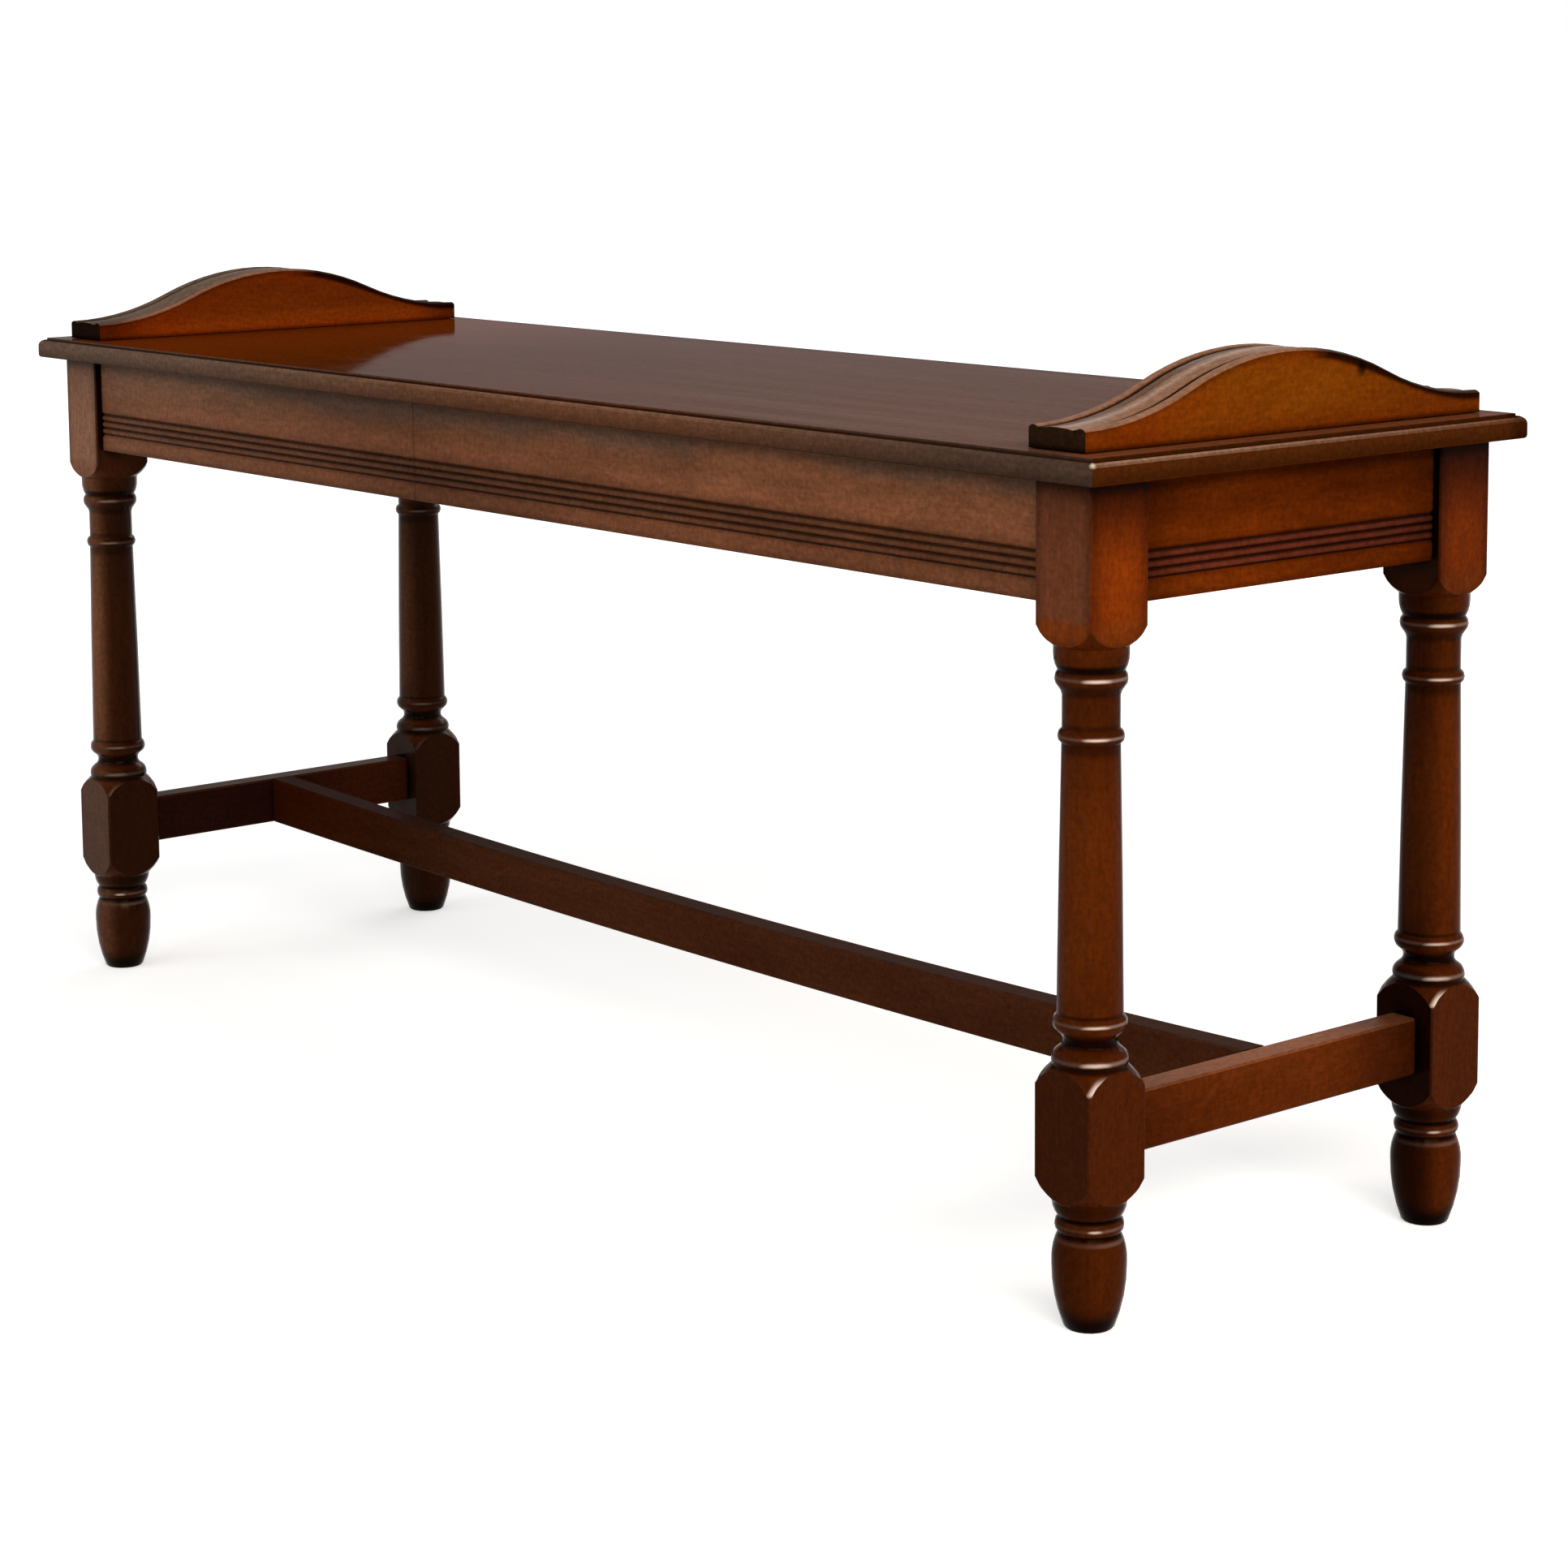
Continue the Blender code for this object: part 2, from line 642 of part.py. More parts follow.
def glue_block_places():
    """(name, x, y, turn) of each glue block, with the turn that sets its back to its rail."""
    rail_x = LEG_X + RAIL_INSET - FIT
    rail_y = LEG_Y + RAIL_INSET - FIT
    places = []
    for face, sign in FACES.items():
        for number, along in enumerate(spread(LONG_BLOCK_COUNT, LONG_BLOCK_PITCH), start=1):
            turn = 0.0 if sign < 0 else math.pi
            places.append((f"{face}_glue_block_{number}", along, sign * rail_y, turn))
    for side, sign in SIDES.items():
        for number, along in enumerate(spread(END_BLOCK_COUNT, END_BLOCK_PITCH), start=1):
            turn = sign * math.pi / 2.0
            places.append((f"{side}_glue_block_{number}", sign * rail_x, along, turn))
    return places


def glue_block_screw_place(x, y, turn):
    """A screw stands in the middle of its block, with its head in the block's underside."""
    reach = GLUE_BLOCK_WIDTH / 2.0
    return (
        x - math.sin(turn) * reach,
        y + math.cos(turn) * reach,
        FRAME_TOP - GLUE_BLOCK_HEIGHT,
    )


def make_glue_block(name, x, y, turn, material):
    """Rubbed into the angle of rail and seat. Its back is the Y = 0 plane before turning."""
    foot = FRAME_TOP - GLUE_BLOCK_HEIGHT
    outline = [
        (0.0, foot), (GLUE_BLOCK_WIDTH - GLUE_BLOCK_CHAMFER / 2.0, foot),
        (GLUE_BLOCK_WIDTH, foot + GLUE_BLOCK_CHAMFER), (GLUE_BLOCK_WIDTH, FRAME_TOP),
        (0.0, FRAME_TOP),
    ]
    half = GLUE_BLOCK_LENGTH / 2.0
    item = add_object(name, prism(outline, -half, half, "X"), material)
    item.location = (x, y, 0.0)
    item.rotation_euler.z = turn
    place = glue_block_screw_place(x, y, turn)
    combine(item, [screw_tool(SEAT_SCREW_LENGTH, place, FIT)], "DIFFERENCE")
    return item


def upstand_screw_places(side):
    inner_face = UPSTAND_X - UPSTAND_THICKNESS / 2.0
    x = SIDES[side] * (inner_face + UPSTAND_SCREW_INSET)
    return [(x, y, SEAT_UNDERSIDE) for y in spread(UPSTAND_SCREW_COUNT, UPSTAND_SCREW_PITCH)]


def build_bench():
    clear_scene()
    show_wood = make_material("polished_mahogany", (0.130, 0.038, 0.012), 0.28)
    hidden_wood = make_material("unpolished_mahogany", (0.190, 0.085, 0.038), 0.75)
    steel = make_material("screw_steel", (0.330, 0.310, 0.290), 0.45, 1.0)

    seat = make_seat_board(show_wood)
    upstands = {side: make_upstand(side, show_wood) for side in SIDES}
    for face in FACES:
        for side in SIDES:
            make_leg(face, side, show_wood)
            make_corner_block(face, side, hidden_wood)

    make_rail("front_rail", LEG_X, LEG_Y, 0.0, show_wood)
    make_rail("rear_rail", LEG_X, LEG_Y, math.pi, show_wood)
    make_rail("right_rail", LEG_Y, LEG_X, math.pi / 2.0, show_wood)
    make_rail("left_rail", LEG_Y, LEG_X, -math.pi / 2.0, show_wood)

    for side in SIDES:
        make_end_stretcher(side, show_wood)
    make_centre_stretcher(show_wood)

    seat_screws = []
    for name, x, y, turn in glue_block_places():
        make_glue_block(name, x, y, turn, hidden_wood)
        seat_screws.append(glue_block_screw_place(x, y, turn))
    make_screws("seat_screw", SEAT_SCREW_LENGTH, seat_screws, steel)
    combine(seat, [screw_tool(SEAT_SCREW_LENGTH, place, FIT) for place in seat_screws],
            "DIFFERENCE")

    for side in SIDES:
        places = upstand_screw_places(side)
        make_screws(f"{side}_upstand_screw", UPSTAND_SCREW_LENGTH, places, steel)
        for item in (seat, upstands[side]):
            tools = [screw_tool(UPSTAND_SCREW_LENGTH, place, FIT) for place in places]
            combine(item, tools, "DIFFERENCE")


build_bench()
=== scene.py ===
"""Looks for the hall bench: French-polished mahogany, a pale studio floor and a fitted camera."""

import math

import bpy
from mathutils import Matrix, Vector

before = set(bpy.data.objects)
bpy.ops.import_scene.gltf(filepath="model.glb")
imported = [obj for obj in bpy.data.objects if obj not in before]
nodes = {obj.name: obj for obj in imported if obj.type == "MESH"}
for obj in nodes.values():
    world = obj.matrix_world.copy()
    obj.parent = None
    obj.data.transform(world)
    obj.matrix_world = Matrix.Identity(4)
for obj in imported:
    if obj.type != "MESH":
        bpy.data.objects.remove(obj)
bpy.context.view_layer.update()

# Camera fitted to the photograph
CAMERA_PLACE = Vector((1.93751, -1.51839, 0.70931))
CAMERA_YAW = 0.8789
CAMERA_PITCH = 0.1312
CAMERA_ROLL = -0.0074
CAMERA_LENS = 83.39
CAMERA_SENSOR = 36.0
CAMERA_SHIFT_Y = -0.1636

# Places on the bench, in metres
LEG_X, LEG_Y, LEG_HALF = 0.5389, 0.1425, 0.0220
SEAT_UNDERSIDE = 0.4778
REED_FOOT, REED_TOP, REED_PITCH = 0.4212, 0.4362, 0.005
UPSTAND_X, UPSTAND_FOOT, UPSTAND_HALF_LENGTH = 0.532, 0.4932, 0.1625
UPSTAND_WAVE_MIDDLE, UPSTAND_WAVE_HEIGHT = 0.5236, 0.0171
# The quirks beside an upstand's crown, in its outward way, as painted shade: (distance, darkness)
UPSTAND_QUIRKS = ((-0.0133, 0.22), (0.0133, 0.50))
KNOT_Y, KNOT_Z = 0.0579, 0.5253
# Where the painted highlight on the seat's front right corner lies
SEAT_CORNER_HIGHLIGHT_PLACE = (0.5755, -0.1783, 0.4905)
# How far the seam in the front frieze lies to the left of the middle, at its least and its most
SEAM_LEAST, SEAM_MOST = 0.0922, 0.0940

# Heights over which a leg turns from its lower block into its shaft, and from that into its top
LOWER_BLOCK_END = (0.160, 0.200)
TOP_BLOCK_START = (0.372, 0.400)

# Tones of the wood: (deep, mid, light)
SEAT = ((0.048, 0.0078, 0.0004), (0.084, 0.0155, 0.0008), (0.122, 0.0240, 0.0016))
WARM = ((0.076, 0.014, 0.0006), (0.122, 0.027, 0.0012), (0.168, 0.043, 0.0022))
LEFT_RED = ((0.098, 0.014, 0.0007), (0.154, 0.026, 0.0014), (0.210, 0.039, 0.0026))
# The long friezes' tone, greyer than the end friezes', paints a sheen of reflected light
SHEENED_FRIEZE = ((0.092, 0.0305, 0.0122), (0.137, 0.0490, 0.0205), (0.182, 0.0705, 0.0320))
END_RED = ((0.054, 0.0075, 0.0004), (0.094, 0.0155, 0.0008), (0.138, 0.0250, 0.0016))
RED = ((0.058, 0.007, 0.0003), (0.118, 0.0165, 0.0008), (0.180, 0.0290, 0.0017))
BROWN_RED = ((0.068, 0.0140, 0.0030), (0.108, 0.0252, 0.0064), (0.150, 0.0376, 0.0108))
# The centre stretcher's tone, darker than the other wood, paints the shade under the bench
SHADED_STRETCHER = ((0.026, 0.007, 0.0026), (0.044, 0.013, 0.0050), (0.062, 0.019, 0.0076))
END_DARK = ((0.036, 0.006, 0.0008), (0.074, 0.014, 0.0018), (0.112, 0.022, 0.0030))

# Colours that lie over the tones of the seat
SEAT_END_EDGE = (0.043, 0.0112, 0.0022)
# Painted sheen on the seat's front edge
SEAT_FRONT_EDGE_SHEEN = (0.098, 0.042, 0.0220)
# Painted shade on the seat's front edge
SEAT_EDGE_SHADE = (0.045, 0.0275, 0.0190)
# Painted highlight on the round of the thumb moulding
SEAT_THUMB_HIGHLIGHT = (0.195, 0.110, 0.0710)
# Painted grey reflection on the seat
SEAT_REFLECTION = (0.125, 0.056, 0.0350)
# Painted reflection of the right upstand on the seat
SEAT_STRIP_REFLECTION = (0.170, 0.048, 0.0150)
# Painted reflection of the left upstand on the seat
SEAT_UPSTAND_REFLECTION = (0.132, 0.0215, 0.0016)
# Painted sheen at the seat's left end
SEAT_LEFT_SHEEN = (0.105, 0.071, 0.0520)
# Painted highlight at the seat's front right corner
SEAT_CORNER_HIGHLIGHT = (0.520, 0.430, 0.3400)

# Colours that lie over the tones of the upstands
END_GRAIN = (0.011, 0.0062, 0.0036)
# Painted sheen on the up-facing crown
RIGHT_CROWN_SHEEN = (0.245, 0.130, 0.0800)
RIGHT_REDDER = (0.126, 0.0205, 0.0009)
# Painted sheen in the hollow of the right crown, a painted shadow along its edge and a painted
# highlight on its crest
RIGHT_HOLLOW_SHEEN = (0.100, 0.066, 0.0480)
RIGHT_HOLLOW_SHADOW = (0.045, 0.028, 0.0200)
RIGHT_CREST_HIGHLIGHT = (0.380, 0.280, 0.2300)
# Painted sheen on the up-facing crown
LEFT_CROWN_SHEEN = (0.300, 0.165, 0.1050)
LEFT_REDDER = (0.150, 0.0190, 0.0009)
# Painted sheen on a strip along the left crown
LEFT_CREST_SHEEN = (0.125, 0.090, 0.0640)

# Colours that lie over the tones of the rails
# Painted shadow of the seat on the top of a frieze
UNDER_SEAT_SHADE = (0.086, 0.050, 0.0330)
# Painted sheen towards the left of the front frieze
FRIEZE_LEFT_SHEEN = (0.168, 0.0790, 0.0430)
FRIEZE_LOWER_WARMTH = (0.178, 0.060, 0.0260)
# Painted sheen on the reeds of the end friezes
REED_SHEEN = (0.125, 0.031, 0.0190)

# Colours that lie over the tones of the legs
# Painted pool of light on the top block's end faces
BLOCK_LIGHT_POOL = (0.215, 0.0330, 0.0008)
GOLDEN = (0.118, 0.0285, 0.0034)
# Painted glint on the crisp edges of a leg
EDGE_GLINT = (0.300, 0.150, 0.0900)
# Painted highlight on the crests of beads and at the block's corner
PAINTED_GLINT = (0.620, 0.490, 0.4200)

# Colours that lie over the tones of the stretchers
LEFT_STRETCHER_TOP = (0.050, 0.020, 0.0100)
# Painted shade on the left end stretcher's inner face
LEFT_STRETCHER_INNER_SHADE = (0.013, 0.0036, 0.0028)
# Painted sheen on the right end stretcher's top
RIGHT_STRETCHER_TOP_SHEEN = (0.235, 0.080, 0.0330)
CENTRE_STRETCHER_TOP = (0.042, 0.017, 0.0100)
CENTRE_STRETCHER_RED = (0.066, 0.0108, 0.0006)

POLISH_TINT = (1.0, 0.60, 0.35, 1.0)

# Ways where a leg's painted highlights are brightest and dimmest, as level directions (x, y)
GLINT_WAY = (0.81, -0.56)
DIM_GLINT_WAY = (0.64, 0.77)

# Axes of the bench that lie (along, across, over) the grain
GRAIN_ALONG = {"X": ("X", "Y", "Z"), "Y": ("Y", "X", "Z"), "Z": ("Z", "X", "Y")}
# Scales of the wood's pattern per metre, as (along, across) the grain
PORE_SCALES = (75.0, 420.0)
CLOUD_SCALES = (5.0, 14.0)
RING_SCALE = 85.0
# How far the grain wanders, the pores' depth, and the radii of soft edges and of the
# painted glint on the shoulders, in metres
GRAIN_WANDER = 0.030
PORE_DEPTH = 0.0002
SOFT_EDGE, SHOULDER_GLINT_RADIUS = 0.0009, 0.0014


class Shader:
    """Adds nodes to one material and joins them by plain calls. at holds the axes of a point's
    place on the bench, and facing those of its normal."""

    def __init__(self, name):
        self.material = bpy.data.materials.new(name)
        self.material.use_nodes = True
        self.tree = self.material.node_tree
        self.surface = self.tree.nodes["Principled BSDF"]
        self.position = self.add("ShaderNodeTexCoord").outputs["Object"]
        self.normal = self.add("ShaderNodeNewGeometry").outputs["Normal"]
        self.at = self.axes(self.position)
        self.facing = self.axes(self.normal)

    def add(self, kind, **settings):
        node = self.tree.nodes.new(kind)
        for key, value in settings.items():
            setattr(node, key, value)
        return node

    def join(self, value, socket):
        if isinstance(value, bpy.types.NodeSocket):
            self.tree.links.new(value, socket)
        else:
            socket.default_value = value

    def math(self, operation, first, second=0.0):
        node = self.add("ShaderNodeMath", operation=operation)
        self.join(first, node.inputs[0])
        self.join(second, node.inputs[1])
        return node.outputs[0]

    def chain(self, operation, values):
        total = None
        for value in values:
            total = value if total is None else self.math(operation, total, value)
        return total

    def times(self, *values):
        return self.chain("MULTIPLY", values)

    def absolute(self, value):
        return self.math("ABSOLUTE", value)

    def apart(self, first, second):
        return self.absolute(self.math("SUBTRACT", first, second))

    def axes(self, vector):
        node = self.add("ShaderNodeSeparateXYZ")
        self.join(vector, node.inputs[0])
        return {axis: node.outputs[axis] for axis in "XYZ"}

    def vector(self, x, y, z):
        node = self.add("ShaderNodeCombineXYZ")
        for value, socket in zip((x, y, z), node.inputs):
            self.join(value, socket)
        return node.outputs[0]

    def length(self, vector):
        node = self.add("ShaderNodeVectorMath", operation="LENGTH")
        self.join(vector, node.inputs[0])
        return node.outputs["Value"]

    def noise(self, vector, scale, detail=2.0, roughness=0.5, distortion=0.0):
        node = self.add("ShaderNodeTexNoise")
        self.join(vector, node.inputs["Vector"])
        node.inputs["Scale"].default_value = scale
        node.inputs["Detail"].default_value = detail
        node.inputs["Roughness"].default_value = roughness
        node.inputs["Distortion"].default_value = distortion
        return node.outputs["Fac"]

    def span(self, value, low, high, to_low=0.0, to_high=1.0, smooth=False):
        """Maps low to high onto to_low to to_high, and holds these beyond both ends."""
        node = self.add("ShaderNodeMapRange")
        node.interpolation_type = "SMOOTHSTEP" if smooth else "LINEAR"
        self.join(value, node.inputs["Value"])
        node.inputs["From Min"].default_value = low
        node.inputs["From Max"].default_value = high
        self.join(to_low, node.inputs["To Min"])
        self.join(to_high, node.inputs["To Max"])
        return node.outputs["Result"]

    def bevel(self, radius):
        node = self.add("ShaderNodeBevel", samples=4)
        node.inputs["Radius"].default_value = radius
        return node.outputs["Normal"]

    def mix(self, share, first, second):
        node = self.add("ShaderNodeMix", data_type="RGBA")
        self.join(share, node.inputs[0])
        for value, socket in ((first, node.inputs[6]), (second, node.inputs[7])):
            if isinstance(value, bpy.types.NodeSocket):
                self.tree.links.new(value, socket)
            else:
                socket.default_value = (*value, 1.0)
        return node.outputs[2]

    def mix_value(self, share, first, second):
        node = self.add("ShaderNodeMix")
        for value, socket in zip((share, first, second), node.inputs[0:1] + node.inputs[2:4]):
            self.join(value, socket)
        return node.outputs[0]

    def scale_colour(self, colour, factor):
        node = self.add("ShaderNodeVectorMath", operation="SCALE")
        self.join(colour, node.inputs[0])
        self.join(factor, node.inputs["Scale"])
        return node.outputs["Vector"]


def stretched(shader, axes, scales, offset=0.0):
    """The axes of the wood, scaled by one number along the grain and by another across it."""
    along, across, over = axes
    return shader.vector(
        shader.times(along, scales[0]),
        shader.times(across, scales[1]),
        shader.math("ADD", shader.times(over, scales[1]), offset),
    )


def wood_pattern(shader, grain, pith, seed):
    """Returns (figure, pores, cloud), each from 0 to 1, for wood with its grain along one axis."""
    along, across, over = (shader.at[axis] for axis in GRAIN_ALONG[grain])
    drift = shader.noise(shader.vector(shader.times(along, 2.2), across, over), 2.6)
    drift = shader.times(shader.math("SUBTRACT", drift, 0.5), GRAIN_WANDER)
    across = shader.math("ADD", across, drift)
    over = shader.math("ADD", over, drift)
    from_pith = shader.length(shader.vector(
        shader.math("ADD", across, pith[0]), shader.math("ADD", over, pith[1]), 0.0
    ))
    rings = shader.vector(
        shader.times(along, 3.0),
        shader.times(from_pith, RING_SCALE),
        shader.math("ADD", shader.times(over, 6.0), seed),
    )
    ripple = shader.noise(rings, 1.0, 3.0, 0.6)
    axes = (along, across, over)
    fleck = shader.noise(stretched(shader, axes, PORE_SCALES), 1.0, 2.0, 0.65)
    cloud = shader.noise(stretched(shader, axes, CLOUD_SCALES, seed), 1.0, 3.0, 0.55, 0.4)
    return (shader.span(ripple, 0.30, 0.70), shader.span(fleck, 0.38, 0.66),
            shader.span(cloud, 0.28, 0.72))


def lean(shader, colour, leanings):
    """Leans the colour towards others on faces that point a given way."""
    for (sign, axis), other, share, low, high in leanings:
        value = shader.facing[axis]
        if callable(share):
            share = share(shader)
        if sign == "|":
            value = shader.absolute(value)
        elif sign == "-":
            value = shader.times(value, -1.0)
        turned = shader.span(value, low, high, smooth=True)
        colour = shader.mix(shader.times(turned, share), colour, other)
    return colour


def polished_wood(name, grain, colours, *, pith, seed, level, gloss=0.2, relief=0.12,
                  leanings=(), drifts=(), hollow_shade=(0.005, 0.35, 0.92, 0.40), shade=None, painted_highlights=()):
    """Mahogany under French polish. colours are (deep, mid, light). The leanings shift the colour
    by the way a face points and the drifts shift it by place, some of them as painted sheen,
    reflection, light and shade. Ambient occlusion darkens the hollows as painted shade with some
    dirt in the grooves, the shade darkens by place, mostly as painted shade, and the painted
    highlights lie over all of these. level is the specular level, gloss the roughness."""
    shader = Shader(name)
    figure, pores, cloud = wood_pattern(shader, grain, pith, seed)
    deep, mid, light = colours
    colour = shader.mix(figure, deep, light)
    colour = shader.mix(0.6, colour, shader.mix(cloud, deep, light))
    colour = shader.mix(0.3, colour, mid)
    colour = lean(shader, colour, leanings)
    for share, other in drifts:
        colour = shader.mix(share(shader), colour, other)
    colour = shader.scale_colour(colour, shader.span(pores, 0.0, 1.0, 0.88, 1.08))
    mottle = shader.noise(shader.position, 300.0, 3.0, 0.62)
    colour = shader.scale_colour(colour, shader.span(mottle, 0.34, 0.66, 0.82, 1.18))
    # Painted shade, with some dirt in the grooves: hollows found by ambient occlusion are darkened
    reach, low, high, darkest = hollow_shade
    occlusion = shader.add("ShaderNodeAmbientOcclusion", samples=8)
    occlusion.inputs["Distance"].default_value = reach
    colour = shader.scale_colour(
        colour, shader.span(occlusion.outputs["AO"], low, high, darkest, 1.0, smooth=True)
    )
    if shade:
        colour = shader.scale_colour(colour, shader.times(*shade(shader)))
    # Painted highlights, laid over all the rest
    for share, other in painted_highlights:
        colour = shader.mix(share(shader), colour, other)
    shader.join(colour, shader.surface.inputs["Base Color"])
    rub = shader.noise(shader.position, 38.0, 3.0, 0.6)
    shader.join(shader.span(rub, 0.3, 0.7, gloss - 0.02, gloss + 0.04),
                shader.surface.inputs["Roughness"])
    shader.surface.inputs["Specular IOR Level"].default_value = level
    shader.surface.inputs["Specular Tint"].default_value = POLISH_TINT
    bump = shader.add("ShaderNodeBump")
    bump.inputs["Strength"].default_value = relief
    bump.inputs["Distance"].default_value = PORE_DEPTH
    shader.join(pores, bump.inputs["Height"])
    shader.join(shader.bevel(SOFT_EDGE), bump.inputs["Normal"])
    shader.join(bump.outputs["Normal"], shader.surface.inputs["Normal"])
    return shader.material


# Heights on a leg of the dark bands in its grooves and under its beads, painted shade with dirt
# in the grooves: (middle, half width, darkness)
LEG_GROOVES = (
    (0.3738, 0.0034, 0.10), (0.3615, 0.0050, 0.50), (0.3415, 0.0022, 0.60),
    (0.3300, 0.0060, 0.50), (0.1805, 0.0016, 0.45), (0.1652, 0.0050, 0.10),
    (0.1518, 0.0030, 0.25), (0.0705, 0.0070, 0.50), (0.0648, 0.0024, 0.12),
    (0.0552, 0.0024, 0.12),
)

# Heights on a leg of the crests where a highlight is painted: (middle, half width, share)
LEG_GLINT_CRESTS = (
    (0.3358, 0.0014, 1.0), (0.3684, 0.0016, 1.0), (0.1762, 0.0014, 1.0),
    (0.1552, 0.0019, 0.9),
)
FOOT_GLINT_CRESTS = ((0.0601, 0.0015, 1.0), (0.0518, 0.0018, 0.9))


def leg_shade(side, face, tones):
    """Painted shade on a leg: darker downwards, under the seat, at its arrises and on its inward
    sides, with painted shade and dirt in its grooves.
    """
    right = side > 0.0

    def shade(shader):
        z = shader.at["Z"]
        turned_x = shader.absolute(shader.facing["X"])
        turned_y = shader.absolute(shader.facing["Y"])
        # Painted shade: each leg's own tone, darker down the shaft and at the foot
        yield tones["block"]
        yield shader.span(z, *TOP_BLOCK_START, tones["shaft"], 1.0, smooth=True)
        yield shader.span(z, 0.130, 0.300, 0.78, 1.0, smooth=True)
        yield shader.span(z, 0.048, 0.078, tones["foot"], 1.0, smooth=True)

        # Painted shadow under the seat, most on the block's end faces
        under_seat = shader.span(turned_x, 0.5, 0.9, 0.76, 0.24)
        yield shader.span(z, 0.425, 0.475, 1.0, under_seat, smooth=True)

        # Painted shade on the sides that face the other legs
        inward_x = shader.times(shader.facing["X"], -side)
        dark_x = 0.40 if right else shader.span(z, 0.372, 0.390, 0.24, 0.30)
        yield shader.span(inward_x, 0.2, 0.9, 1.0, dark_x, smooth=True)
        inward_y = shader.times(shader.facing["Y"], -face)
        dark_y = shader.times(shader.span(z, 0.372, 0.388, 0.42, 0.20),
                              shader.span(z, *LOWER_BLOCK_END, 0.58, 1.0))
        yield shader.span(inward_y, 0.3, 1.0, 1.0, dark_y, smooth=True)

        # The turnings under the top block, whose own flat faces are spared
        flat = shader.math("MAXIMUM", turned_x, turned_y)
        spared = shader.times(shader.span(flat, 0.97, 0.995), shader.span(z, 0.384, 0.390))
        neck = shader.times(shader.span(z, 0.270, 0.355, smooth=True),
                            shader.span(z, 0.392, 0.404, 1.0, 0.0, smooth=True),
                            shader.math("SUBTRACT", 1.0, spared))
        yield shader.span(neck, 0.0, 1.0, 1.0, 0.58 if right else 0.68)

        # Painted shade on the front and rear faces low down, and along the top block's arrises
        low_front = shader.span(z, *LOWER_BLOCK_END, 0.58 if right else 0.66, 1.0)
        yield shader.span(turned_y, 0.5, 0.95, 1.0, low_front)
        arris = shader.math("MINIMUM", shader.apart(shader.at["X"], LEG_X * side),
                            shader.apart(shader.at["Y"], LEG_Y * face))
        dark_arris = shader.span(z, 0.360, 0.380, 0.95, 0.62)
        yield shader.span(arris, 0.0130, 0.0218, 1.0, dark_arris, smooth=True)
        for middle, half, darkness in LEG_GROOVES:
            away = shader.apart(z, middle)
            yield shader.span(away, half * 0.25, half, darkness, 1.0, smooth=True)

    return shade


def toward(shader, way):
    """How far a face points in a level direction (x, y), as a cosine."""
    return shader.math("ADD", shader.times(shader.facing["X"], way[0]),
                       shader.times(shader.facing["Y"], way[1]))


def crest_glint_share(crests, strength, narrow, rest):
    """Share of the painted highlight on the crests of turned beads, brightest in one level way. It
    falls to rest, the part of it elsewhere, at narrow, a cosine from that way."""

    def share(shader):
        bands = shader.chain("ADD", (
            shader.span(shader.apart(shader.at["Z"], middle), 0.0, half, depth, 0.0, smooth=True)
            for middle, half, depth in crests
        ))
        elsewhere = shader.span(toward(shader, DIM_GLINT_WAY), -0.3, 0.6, 0.25 * rest, rest,
                                smooth=True)
        spread = shader.span(toward(shader, GLINT_WAY), narrow, 1.0, elsewhere, 1.0, smooth=True)
        return shader.times(bands, spread, strength)

    return share


def corner_glint_share(side, face, strength):
    """Share of the painted glint where the shoulder of the lower block meets its front corner."""

    def share(shader):
        z = shader.at["Z"]
        inward = shader.math("SUBTRACT", LEG_X * side + LEG_HALF, shader.at["X"])
        front = shader.math("SUBTRACT", LEG_Y * face, shader.at["Y"])
        return shader.times(
            shader.span(z, 0.1392, 0.1415, smooth=True),
            shader.span(z, 0.1440, 0.1500, 1.0, 0.0, smooth=True),
            shader.span(shader.facing["Z"], 0.12, 0.30),
            shader.span(inward, 0.0, 0.0030, 1.0, 0.0, smooth=True),
            shader.span(front, 0.004, 0.012),
            strength,
        )

    return share


def block_light_pool_share(shader):
    """Share of a painted pool of light low in the middle of the top block's end faces."""
    z = shader.at["Z"]
    across = shader.apart(shader.absolute(shader.at["Y"]), LEG_Y)
    return shader.times(
        shader.span(across, 0.004, 0.018, 0.38, 0.0, smooth=True),
        shader.span(shader.absolute(shader.facing["X"]), 0.8, 0.95),
        shader.span(z, 0.388, 0.412, smooth=True),
        shader.span(z, 0.425, 0.468, 1.0, 0.0, smooth=True),
    )


def shoulder_glint_share(shader):
    """Share of a painted glint along the crisp edges of the shoulders and of the lower block."""
    flatness = shader.add("ShaderNodeVectorMath", operation="DOT_PRODUCT")
    shader.join(shader.bevel(SHOULDER_GLINT_RADIUS), flatness.inputs[0])
    shader.join(shader.normal, flatness.inputs[1])
    z = shader.at["Z"]
    return shader.times(
        shader.span(flatness.outputs["Value"], 0.90, 0.995, 0.13, 0.0),
        shader.span(z, 0.070, 0.080),
        shader.span(z, 0.150, 0.156, 1.0, 0.0),
    )


def block_mask(share, elsewhere):
    """A share for the top block, and another for the rest of a leg."""
    return lambda shader: shader.span(shader.at["Z"], 0.396, 0.404, elsewhere, share, smooth=True)


def shade_lift(shader):
    """Height by which the painted shadow under the seat is less deep towards the ends of a
    long frieze.
    """
    away = shader.absolute(shader.math("ADD", shader.at["X"], 0.1))
    return shader.span(away, 0.05, 0.45, 0.0, 0.0060, smooth=True)


